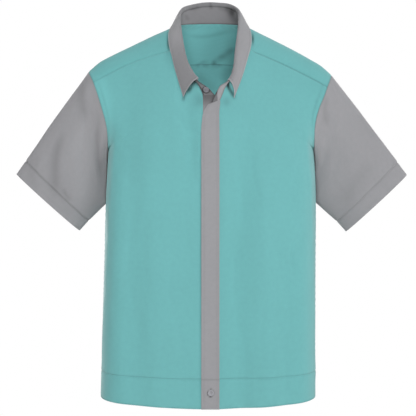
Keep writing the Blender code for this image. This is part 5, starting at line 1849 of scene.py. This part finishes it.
def lay_strip(name, outer, pucker_share, darker_at):
    """A strip on the fronts, such as the placket, with a function for the painted shade at its end."""
    face, ups = drawn("strip", outer)
    x, z = face[..., 0], face[..., 2]
    relief = soft_waves(name, x, z)
    for height, width, depth in zip(*PLACKET_PUCKERS.values()):
        slant = z - height - PLACKET_SLANT * x
        relief = relief - pucker_share * PLACKET_PUCKER_SHARE * depth * bell(slant, width)
    sides = ("inner", "outer")
    relief = relief + puckers(face, name, share=pucker_share)
    relief = relief + stitched(face, sides, PLACKET_STITCH) * pucker_share
    darker = stitch_tone(face, sides, "placket_stitch", PLACKET_STITCH) * pucker_share + darker_at(face)
    return sew_sheet(name, face, ups, relief, 2, "trim_cloth", EDGES, darker=darker), ups


def make_under_placket():
    """The strip under the placket, sewn to the wearer's right front."""
    heights = np.linspace(HEM, UNDER_PLACKET_TOP + UNDER_PLACKET_LAP, UNDER_PLACKET_ROWS)
    edges = []
    for side in (-1, 1):
        x = np.full_like(heights, UNDER_PLACKET_EDGE[side] - side * SEAM_GAP)
        edges.append(np.stack([x, heights], axis=1))

    def shaded_top(face):
        z = face[..., 2]
        return UNDER_SHADE * bell(z - z.max(), UNDER_SHADE_LENGTH)

    lay_strip("under_placket", strip_on_front(*edges, 0), UNDER_PLACKET_PUCKERS, shaded_top)


def make_placket():
    """The covered placket on the wearer's left front, slanted at its top."""
    edges = []
    heights = np.linspace(BAND_SEAM, PLACKET_EDGES["height"][0], BODY_ROWS)[:-1]
    for name in ("right", "left"):
        column = PLACKET_EDGES[name + "_x"]
        lower = np.stack([np.full_like(heights, column[0]), heights], axis=1)
        upper = np.stack([column, PLACKET_EDGES[name + "_z"]], axis=1)
        edges.append(np.concatenate([lower, upper]))
    outer = strip_on_front(*edges, PLACKET_LIFT + TWO_PLY)
    face, ups = lay_strip("placket", outer, 1.0, lambda face: line_tone(face, "foot", "placket_foot"))
    sew_lines("trim", face, ups, ("inner", "outer"), PLACKET_STITCH)


def rim_shade(out):
    """Painted shade in a ring round a button, by the distance from its middle."""
    return bell(out - BUTTON_SHADE["radius"], BUTTON_SHADE["width"])


def round_button(face):
    """Shade of the hem button on its tab: a ring, darkest at its lower right side, and its buttonhole."""
    off_x, off_z = face[..., 0] - HEM_BUTTON["x"], face[..., 2] - HEM_BUTTON["z"]
    out = np.hypot(off_x, off_z)
    turned = (-off_x - off_z) / np.maximum(out, BUTTON_EDGE) / math.sqrt(2)
    strength = BUTTON_SHADE["ring"] + BUTTON_SHADE["crescent"] * fade(turned, 0, 1)
    slit = bell(off_x, BUTTON_SHADE["width"]) * (out < BUTTONHOLE["length"] / 2)
    return rim_shade(out) * strength + BUTTON_SHADE["slit"] * slit


def make_hem_tab():
    """The end of the placket on the hem band, with a standing buttonhole."""
    heights = np.linspace(HEM, BAND_SEAM - SEAM_GAP, BAND_ROWS)
    edges = [np.stack([np.full_like(heights, PLACKET_EDGES[name + "_x"][0]), heights], axis=1)
             for name in ("right", "left")]
    outer = strip_on_front(*edges, PLACKET_LIFT + TWO_PLY)
    face, ups = drawn("tab", outer)
    x, z = face[..., 0], face[..., 2]
    relief = soft_waves("tab", x, z)
    reach = np.abs(z - BUTTONHOLE["middle"]) / (BUTTONHOLE["length"] / 2)
    slit = bell(x - HEM_BUTTON["x"], BUTTONHOLE["width"]) * (1 - fade(reach, *BUTTONHOLE["ends"]))
    relief = relief - BUTTONHOLE["depth"] * slit
    sewn = ("inner", "outer", "foot")
    relief = relief + stitched(face, sewn, PLACKET_STITCH)
    darker = line_tone(face, "top", "placket_foot") + round_button(face)
    darker = darker + stitch_tone(face, ("inner", "outer"), "placket_stitch", PLACKET_STITCH)
    face = sew_sheet("hem_tab", face, ups, relief, 2, "trim_cloth",
                     EDGES, darker=darker)
    sew_lines("trim", face, ups, sewn, PLACKET_STITCH, PLACKET_STITCH)


# ---- the collar ----

def collar_folds(face):
    """Painted shade of the folds of the stand and of the rolled leaf, behind the neck."""
    return -crease_relief(face[..., 0], face[..., 2], COLLAR_SHADES) * fade(face[..., 1], *COLLAR_BEHIND)


def make_collar_stand():
    """The stand round the neck, with an end for its button at the wearer's right."""
    last = len(NECK_SEAM["x"]) - 1
    outer, _ = stand_faces(np.linspace(0, last, last * COLLAR_STEPS + 1))
    outer = outer.swapaxes(0, 1)[:, ::-1]
    face, ups = drawn("stand", outer)
    relief = soft_waves("stand", travelled(face, 0), travelled(face, 1)) + puckers(face, "stand")
    face = face - ups * STAND_SETBACK
    # Painted shade on the stand's end at the wearer's right, round its button, along its seams and inside
    right_end = fade(-face[..., 1], *STAND_END) * (face[..., 0] < STAND_END_REACH)
    darker = seam_tones(face, inner="stand_seam", outer="stand_seam") + STAND_END_SHADE * right_end
    button = stand_button_place()[0]
    ring = STAND_RING * rim_shade(np.linalg.norm(face - button, axis=-1))
    sew_sheet("collar_stand", face, ups, relief, 2, "trim_cloth",
              EDGES, darker=darker + ring,
              darker_inside=darker + TONE["stand"] + collar_folds(face))


def leaf_tone(face):
    """Painted shade of the leaf on its stitch line round it, its seam with the stand, its inside in the
    neck and the half that turns from the light, and a painted highlight along its edges.
    """
    sewn = ("inner", "outer", "top")
    total = seam_tones(face, foot="stand_seam", **dict.fromkeys(sewn, "leaf_edge"))
    total = total + stitch_tone(face, sewn, "leaf_stitch", COLLAR_STITCH)
    outside = fade(travelled(face, 0), *LEAF_OUTSIDE)
    total = total + (TONE["leaf_inside"] + collar_folds(face)) * (1 - outside)
    for side, share in LEAF_DARKER.items():
        front = fade(-face[..., 1], *LEAF_FRONT) * (face[..., 0] * side > 0)
        total = total + share * front * outside
    return total


def make_collar_leaf():
    """The leaf that folds over the stand and ends in two points."""
    face, ups = drawn("leaf", leaf_panel(), plain="foot")
    inward, along = from_edge(face, "top")
    relief = soft_waves("leaf", along, inward) * away_from(face, "leaf")
    sewn = ("inner", "outer", "top")
    relief = relief + puckers(face, "leaf") + stitched(face, sewn, COLLAR_STITCH, ALLOWANCE["collar"])
    face = sew_sheet("collar_leaf", face, ups, relief, 2, "trim_cloth",
                     EDGES, darker=leaf_tone(face))
    sew_lines("trim", face, ups, sewn, COLLAR_STITCH, COLLAR_STITCH)


# ---- the buttons ----

def make_button(name, centre, outward, upward, made_of):
    """A four-hole button on its cloth, sewn on with two bars of thread."""
    front = Vector(outward).normalized()
    across = Vector(upward).cross(front).normalized()
    turned = Matrix((across, front.cross(across), front)).transposed().to_4x4()
    place = Matrix.Translation(Vector(centre) + front * BUTTON_LIFT) @ turned
    shape = bmesh.new()
    shape.from_mesh(bored_button())
    bmesh.ops.transform(shape, matrix=place, verts=shape.verts)
    bmesh.ops.scale(shape, vec=(METRE,) * 3, verts=shape.verts)
    bmesh.ops.recalc_face_normals(shape, faces=shape.faces)
    mesh = bpy.data.meshes.new(name + "_moulded")
    shape.to_mesh(mesh)
    shape.free()
    mesh.shade_smooth()
    mesh.set_sharp_from_angle(angle=BUTTON_SMOOTH_ANGLE)
    mesh.materials.append(made_of)
    piece = placed(name + "_moulded", mesh)
    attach(piece, BODY)
    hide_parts(name)
    tie = np.array([place @ Vector((BUTTON_HOLE_OUT * math.cos(angle), BUTTON_HOLE_OUT * math.sin(angle),
                                    BUTTON_THICK - BUTTON_DISH))
                    for angle in (np.arange(4) + 0.5) * math.pi / 2])
    BUTTON_TIES.append((tie, np.array(front)))


def hem_button_place():
    """Middle of the hem's button on the tab, with the ways out of the cloth and up it."""
    x, z = HEM_BUTTON["x"], HEM_BUTTON["z"]
    heights = np.array([z - BUTTON_RADIUS, z, z + BUTTON_RADIUS])
    depths = front_y(np.full(3, x), heights, 1) - PLACKET_LIFT - TWO_PLY
    slope = (depths[2] - depths[0]) / (2 * BUTTON_RADIUS)
    return (x, depths[1], z), (0, -1, slope), (0, 0, 1)


def stand_button_place():
    """Middle of the stand's button on its cloth, with the ways out of the cloth and up it."""
    row, step = STAND_BUTTON["row"], STAND_BUTTON["step"]
    outer, _ = stand_faces(np.array([row - step, row, row + step]))
    foot, top = outer[0], outer[-1]
    middle = foot + (top - foot) * STAND_BUTTON["share"]
    rise = top[1] - foot[1]
    outward = np.cross(rise, middle[2] - middle[0])
    return middle[1], outward * np.sign(-outward[1]), rise


def make_buttons():
    _, sewing, _ = settings()
    # The stand's button is drawn darker, as painted shade
    for name, finish, colour, place in (
            ("hem_button", "cast_polyester_grey", sewing.button_colour, hem_button_place()),
            ("stand_button", "cast_polyester_dark", sewing.stand_button_colour, stand_button_place())):
        make_button(name, *place, material_of(moulded_polyester, finish, colour))


# ---- the stitching ----

def thread_tree(name):
    """Geometry nodes that set one stitch after another along every edge line."""
    tree = bpy.data.node_groups.new(name, "GeometryNodeTree")
    faces = tree.interface
    for label, kind in (("Lines", "Geometry"), ("Pitch", "Float"), ("Length", "Float"),
                        ("Thread radius", "Float"), ("Thread", "Material")):
        faces.new_socket(label, in_out="INPUT", socket_type="NodeSocket" + kind)
    faces.new_socket("Stitches", in_out="OUTPUT", socket_type="NodeSocketGeometry")
    given = add_node(tree, "NodeGroupInput").outputs
    curve = add_node(tree, "GeometryNodeMeshToCurve", Mesh=given["Lines"])
    even = add_node(tree, "GeometryNodeResampleCurve", {"mode": "LENGTH"}, Curve=curve, Length=given["Pitch"])
    points = add_node(tree, "GeometryNodeCurveToPoints", {"mode": "EVALUATED"}, Curve=even)
    up = add_node(tree, "GeometryNodeInputNamedAttribute", {"data_type": "FLOAT_VECTOR"}, Name="cloth_up")
    turn = add_node(tree, "FunctionNodeAxesToRotation", {"primary_axis": "Z", "secondary_axis": "X"},
                    Primary_Axis=up, Secondary_Axis=points.outputs["Tangent"])
    bead = add_node(tree, "GeometryNodeMeshUVSphere", Segments=6, Rings=4, Radius=1.0)
    half = add_node(tree, "ShaderNodeMath", {"operation": "MULTIPLY"})
    for value, socket in zip((given["Length"], 0.5), half.inputs):
        join(tree, value, socket)
    radius = given["Thread radius"]
    size = add_node(tree, "ShaderNodeCombineXYZ", X=half, Y=radius, Z=radius)
    stitch = add_node(tree, "GeometryNodeTransform", Geometry=bead, Scale=size)
    sewn = add_node(tree, "GeometryNodeInstanceOnPoints", Points=points, Instance=stitch, Rotation=turn)
    real = add_node(tree, "GeometryNodeRealizeInstances", Geometry=sewn)
    made = add_node(tree, "GeometryNodeSetMaterial", Geometry=real, Material=given["Thread"])
    add_node(tree, "NodeGroupOutput", Stitches=made)
    return tree


def lines_mesh(name, lines, lift):
    """Edge lines in metres, a little above the cloth, that remember which way the cloth faces."""
    points = []
    ups = []
    edges = []
    for line, line_ups in lines:
        start = len(points)
        points += (line + line_ups * lift).tolist()
        ups += line_ups.tolist()
        edges += [(index, index + 1) for index in range(start, len(points) - 1)]
    mesh = bpy.data.meshes.new(name)
    mesh.from_pydata((np.array(points) * METRE).tolist(), edges, [])
    upward = mesh.attributes.new("cloth_up", "FLOAT_VECTOR", "POINT")
    upward.data.foreach_set("vector", np.array(ups, np.float32).ravel())
    return mesh


def run_stitches(name, lines, material, pitch, length, lift=0.1):
    """All the stitches of one thread as one plain mesh."""
    _, sewing, _ = settings()
    mesh = lines_mesh(name + "_lines", lines, lift)
    carrier = placed(name + "_lines", mesh)
    tree = thread_tree(name)
    sewn = carrier.modifiers.new("stitches", "NODES")
    sewn.node_group = tree
    sockets = {item.name: item.identifier for item in tree.interface.items_tree if item.in_out == "INPUT"}
    sewn[sockets["Pitch"]] = pitch
    sewn[sockets["Length"]] = length
    sewn[sockets["Thread radius"]] = sewing.thread
    sewn[sockets["Thread"]] = material
    evaluated = carrier.evaluated_get(bpy.context.evaluated_depsgraph_get())
    plain = bpy.data.meshes.new_from_object(evaluated)
    plain.name = name
    bpy.data.objects.remove(carrier, do_unlink=True)
    if not plain.polygons:
        raise RuntimeError(name + " came out without stitches")
    plain.shade_smooth()
    piece = placed(name, plain)
    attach(piece, BODY)


def button_thread():
    """Two short bars of thread across each button, and the satin stitches round the buttonhole."""
    lines = []
    for holes, front in BUTTON_TIES:
        for start, end in ((0, 1), (3, 2)):
            share = np.linspace(0, 1, 5)[:, None]
            bar = holes[start] * (1 - share) + holes[end] * share
            lines.append((bar + front * 0.1, np.tile(front, (5, 1))))
    return lines


def buttonhole_lines():
    """Short rows across the slit of the buttonhole, which together make its satin edge."""
    half = BUTTONHOLE["length"] / 2
    heights = np.arange(-half, half + 0.01, BUTTONHOLE["pitch"]) + BUTTONHOLE["middle"]
    lines = []
    for side in (-1, 1):
        x = np.full(len(heights), HEM_BUTTON["x"] + side * BUTTONHOLE["satin"])
        y = front_y(x, heights, 1) - PLACKET_LIFT - TWO_PLY
        points = np.stack([x, y, heights], axis=1)
        lines.append((points, np.tile((0.0, -1.0, 0.0), (len(points), 1))))
    return lines


# ---- operators ----

class OBJECT_OT_shirt_fronts(bpy.types.Operator):
    """Sew the two fronts and their stretches of the hem band"""
    bl_idname = "shirt.fronts"
    bl_label = "Fronts"

    def execute(self, context):
        for side in (-1, 1):
            make_front(side)
            grid = np.stack([front_bottom(side, height, rise) for height, rise in band_heights()])
            panel = "front_" + side_name(side)
            make_hem_band("hem_band_" + panel, grid, {-1: side}, side)
        return {"FINISHED"}


class OBJECT_OT_shirt_back(bpy.types.Operator):
    """Sew the back and its stretch of the hem band"""
    bl_idname = "shirt.back"
    bl_label = "Back"

    def execute(self, context):
        make_back()
        grid = np.stack([back_bottom(height, rise) for height, rise in band_heights()])
        make_hem_band("hem_band_back", grid, {0: -1, -1: 1}, 20)
        return {"FINISHED"}


class OBJECT_OT_shirt_yoke(bpy.types.Operator):
    """Sew the yoke over the shoulders"""
    bl_idname = "shirt.yoke"
    bl_label = "Yoke"

    def execute(self, context):
        make_yoke()
        return {"FINISHED"}


class OBJECT_OT_shirt_sleeves(bpy.types.Operator):
    """Sew both sleeves and their hems"""
    bl_idname = "shirt.sleeves"
    bl_label = "Sleeves"

    def execute(self, context):
        for side in (-1, 1):
            for hem in (False, True):
                make_sleeve(side, hem)
        return {"FINISHED"}


class OBJECT_OT_shirt_closing(bpy.types.Operator):
    """Sew the covered placket, the strip under it and its end on the hem band"""
    bl_idname = "shirt.closing"
    bl_label = "Front closing"

    def execute(self, context):
        make_under_placket()
        make_placket()
        make_hem_tab()
        return {"FINISHED"}


class OBJECT_OT_shirt_collar(bpy.types.Operator):
    """Sew the collar's stand and leaf"""
    bl_idname = "shirt.collar"
    bl_label = "Collar"

    def execute(self, context):
        make_collar_stand()
        make_collar_leaf()
        return {"FINISHED"}


class OBJECT_OT_shirt_buttons(bpy.types.Operator):
    """Sew on the two buttons that show"""
    bl_idname = "shirt.buttons"
    bl_label = "Buttons"

    def execute(self, context):
        make_buttons()
        return {"FINISHED"}


class OBJECT_OT_shirt_stitching(bpy.types.Operator):
    """Topstitch every seam that shows its thread, after the cloth and the buttons are made"""
    bl_idname = "shirt.stitching"
    bl_label = "Stitching"

    def execute(self, context):
        if not SEWN_LINES["body"] or not SEWN_LINES["trim"] or not BUTTON_TIES:
            raise RuntimeError("the cloth and the buttons come before the stitching")
        _, sewing, _ = settings()
        body = material_of(sewing_thread, "spun_thread_teal", sewing.body_colour)
        trim = material_of(sewing_thread, "spun_thread_grey", sewing.trim_colour)
        for cloth, thread in (("body", body), ("trim", trim)):
            run_stitches("topstitching_" + cloth, SEWN_LINES[cloth], thread,
                         sewing.pitch, sewing.length)
        run_stitches("button_thread", button_thread(), trim,
                     BUTTON_STITCH["pitch"], BUTTON_STITCH["length"])
        run_stitches("buttonhole_satin", buttonhole_lines(), trim,
                     BUTTONHOLE["pitch"] * METRE, BUTTONHOLE["row"] * METRE)
        return {"FINISHED"}


class OBJECT_OT_shirt_stage(bpy.types.Operator):
    """Set up the floor, the soft studio light and the camera"""
    bl_idname = "shirt.stage"
    bl_label = "Stage"

    def execute(self, context):
        make_floor()
        make_lights()
        make_camera()
        return {"FINISHED"}


# ---- the stage ----

STAGE_HALF = 3.0
VIEW_POINT = (-0.0044, 0.0, -0.361)
FRAME_WIDTH = 0.832
SENSOR = 36.0

# Light from the studio's walls: brighter where the vector points. Seen directly, they are pale all round
BRIGHT_SIDE = (0.45, 0.85, -0.25)
WALL_TURN = (-0.4, 0.7)
DIM_WALL = 0.03
BRIGHT_WALL = 0.5
PALE_WALL = 1.0

# Soft boxes round the shirt: place, side length and power
SOFT_BOXES = {
    "front_soft_box": ((-0.05, -3.0, 0.5), 1.1, 80.0),
    "fill_soft_box": ((-2.4, -1.7, 0.9), 1.0, 13.0),
    "key_soft_box": ((1.5, -2.7, 0.1), 1.1, 32.0),
    "side_soft_box": ((2.4, -1.6, 0.3), 1.0, 9.0),
    "back_soft_box": ((-1.2, 2.9, -0.2), 1.4, 75.0),
}


def make_floor():
    _, _, stage = settings()
    mesh = bpy.data.meshes.new("studio_floor")
    half = STAGE_HALF
    corners = [(-half, -half), (half, -half), (half, half), (-half, half)]
    mesh.from_pydata([(x, y, stage.floor) for x, y in corners], [], [(0, 1, 2, 3)])
    mesh.materials.append(material_of(studio_paper, "background_paper", stage.paper))
    placed("studio_floor", mesh)


def make_lights():
    world = bpy.data.worlds.new("studio_air")
    world.use_nodes = True
    tree = world.node_tree
    air = tree.nodes["Background"]
    air.inputs["Color"].default_value = (1, 1, 1, 1)
    towards = add_node(tree, "ShaderNodeTexCoord").outputs["Generated"]
    facing_it = add_node(tree, "ShaderNodeVectorMath", {"operation": "DOT_PRODUCT"})
    for value, socket in zip((towards, BRIGHT_SIDE), facing_it.inputs):
        join(tree, value, socket)
    wall = add_node(tree, "ShaderNodeMapRange", {"interpolation_type": "SMOOTHSTEP"},
                    From_Min=WALL_TURN[0], From_Max=WALL_TURN[1], To_Min=DIM_WALL, To_Max=BRIGHT_WALL,
                    Value=facing_it.outputs["Value"])
    seen = add_node(tree, "ShaderNodeLightPath")
    total = add_node(tree, "ShaderNodeMix", Factor=seen.outputs["Is Camera Ray"], A=wall, B=PALE_WALL)
    join(tree, total, air.inputs["Strength"])
    bpy.context.scene.world = world
    for name, (place, size, power) in SOFT_BOXES.items():
        lamp = bpy.data.lights.new(name, "AREA")
        lamp.size = size
        lamp.energy = power
        box = placed(name, lamp)
        box.location = place
        aim = Vector(VIEW_POINT) - Vector(place)
        box.rotation_euler = aim.to_track_quat("-Z", "Y").to_euler()


def make_camera():
    _, _, stage = settings()
    lens = bpy.data.cameras.new("photo_view")
    lens.sensor_width = SENSOR
    lens.lens = SENSOR * stage.distance / FRAME_WIDTH
    camera = placed("photo_view", lens)
    camera.location = (VIEW_POINT[0], VIEW_POINT[1] - stage.distance, VIEW_POINT[2])
    camera.rotation_euler = (math.pi / 2, 0, 0)
    bpy.context.scene.camera = camera
    bpy.context.scene.view_settings.view_transform = "Standard"


class VIEW3D_PT_shirt(bpy.types.Panel):
    """Sizes, colours and steps of the shirt"""
    bl_label = "Short-sleeved shirt"
    bl_space_type = "VIEW_3D"
    bl_region_type = "UI"
    bl_category = "Shirt"

    def draw(self, context):
        for group in settings():
            for name in group.bl_rna.properties.keys():
                if name not in ("rna_type", "name"):
                    self.layout.prop(group, name)
        for step in STEPS:
            self.layout.operator(step.bl_idname)


STEPS = (
    OBJECT_OT_shirt_stage,
    OBJECT_OT_shirt_fronts,
    OBJECT_OT_shirt_back,
    OBJECT_OT_shirt_yoke,
    OBJECT_OT_shirt_sleeves,
    OBJECT_OT_shirt_closing,
    OBJECT_OT_shirt_collar,
    OBJECT_OT_shirt_buttons,
    OBJECT_OT_shirt_stitching,
)
GROUPS = (ShirtCloth, ShirtSewing, ShirtStage)


def register():
    for part in (*GROUPS, *STEPS, VIEW3D_PT_shirt):
        bpy.utils.register_class(part)
    bpy.types.Scene.shirt_cloth = PointerProperty(type=ShirtCloth)
    bpy.types.Scene.shirt_sewing = PointerProperty(type=ShirtSewing)
    bpy.types.Scene.shirt_stage = PointerProperty(type=ShirtStage)


def unregister():
    for name in ("shirt_cloth", "shirt_sewing", "shirt_stage"):
        delattr(bpy.types.Scene, name)
    for part in reversed((*GROUPS, *STEPS, VIEW3D_PT_shirt)):
        bpy.utils.unregister_class(part)


def main():
    register()
    for step in STEPS:
        area, name = step.bl_idname.split(".")
        getattr(getattr(bpy.ops, area), name)()


if __name__ == "__main__":
    main()
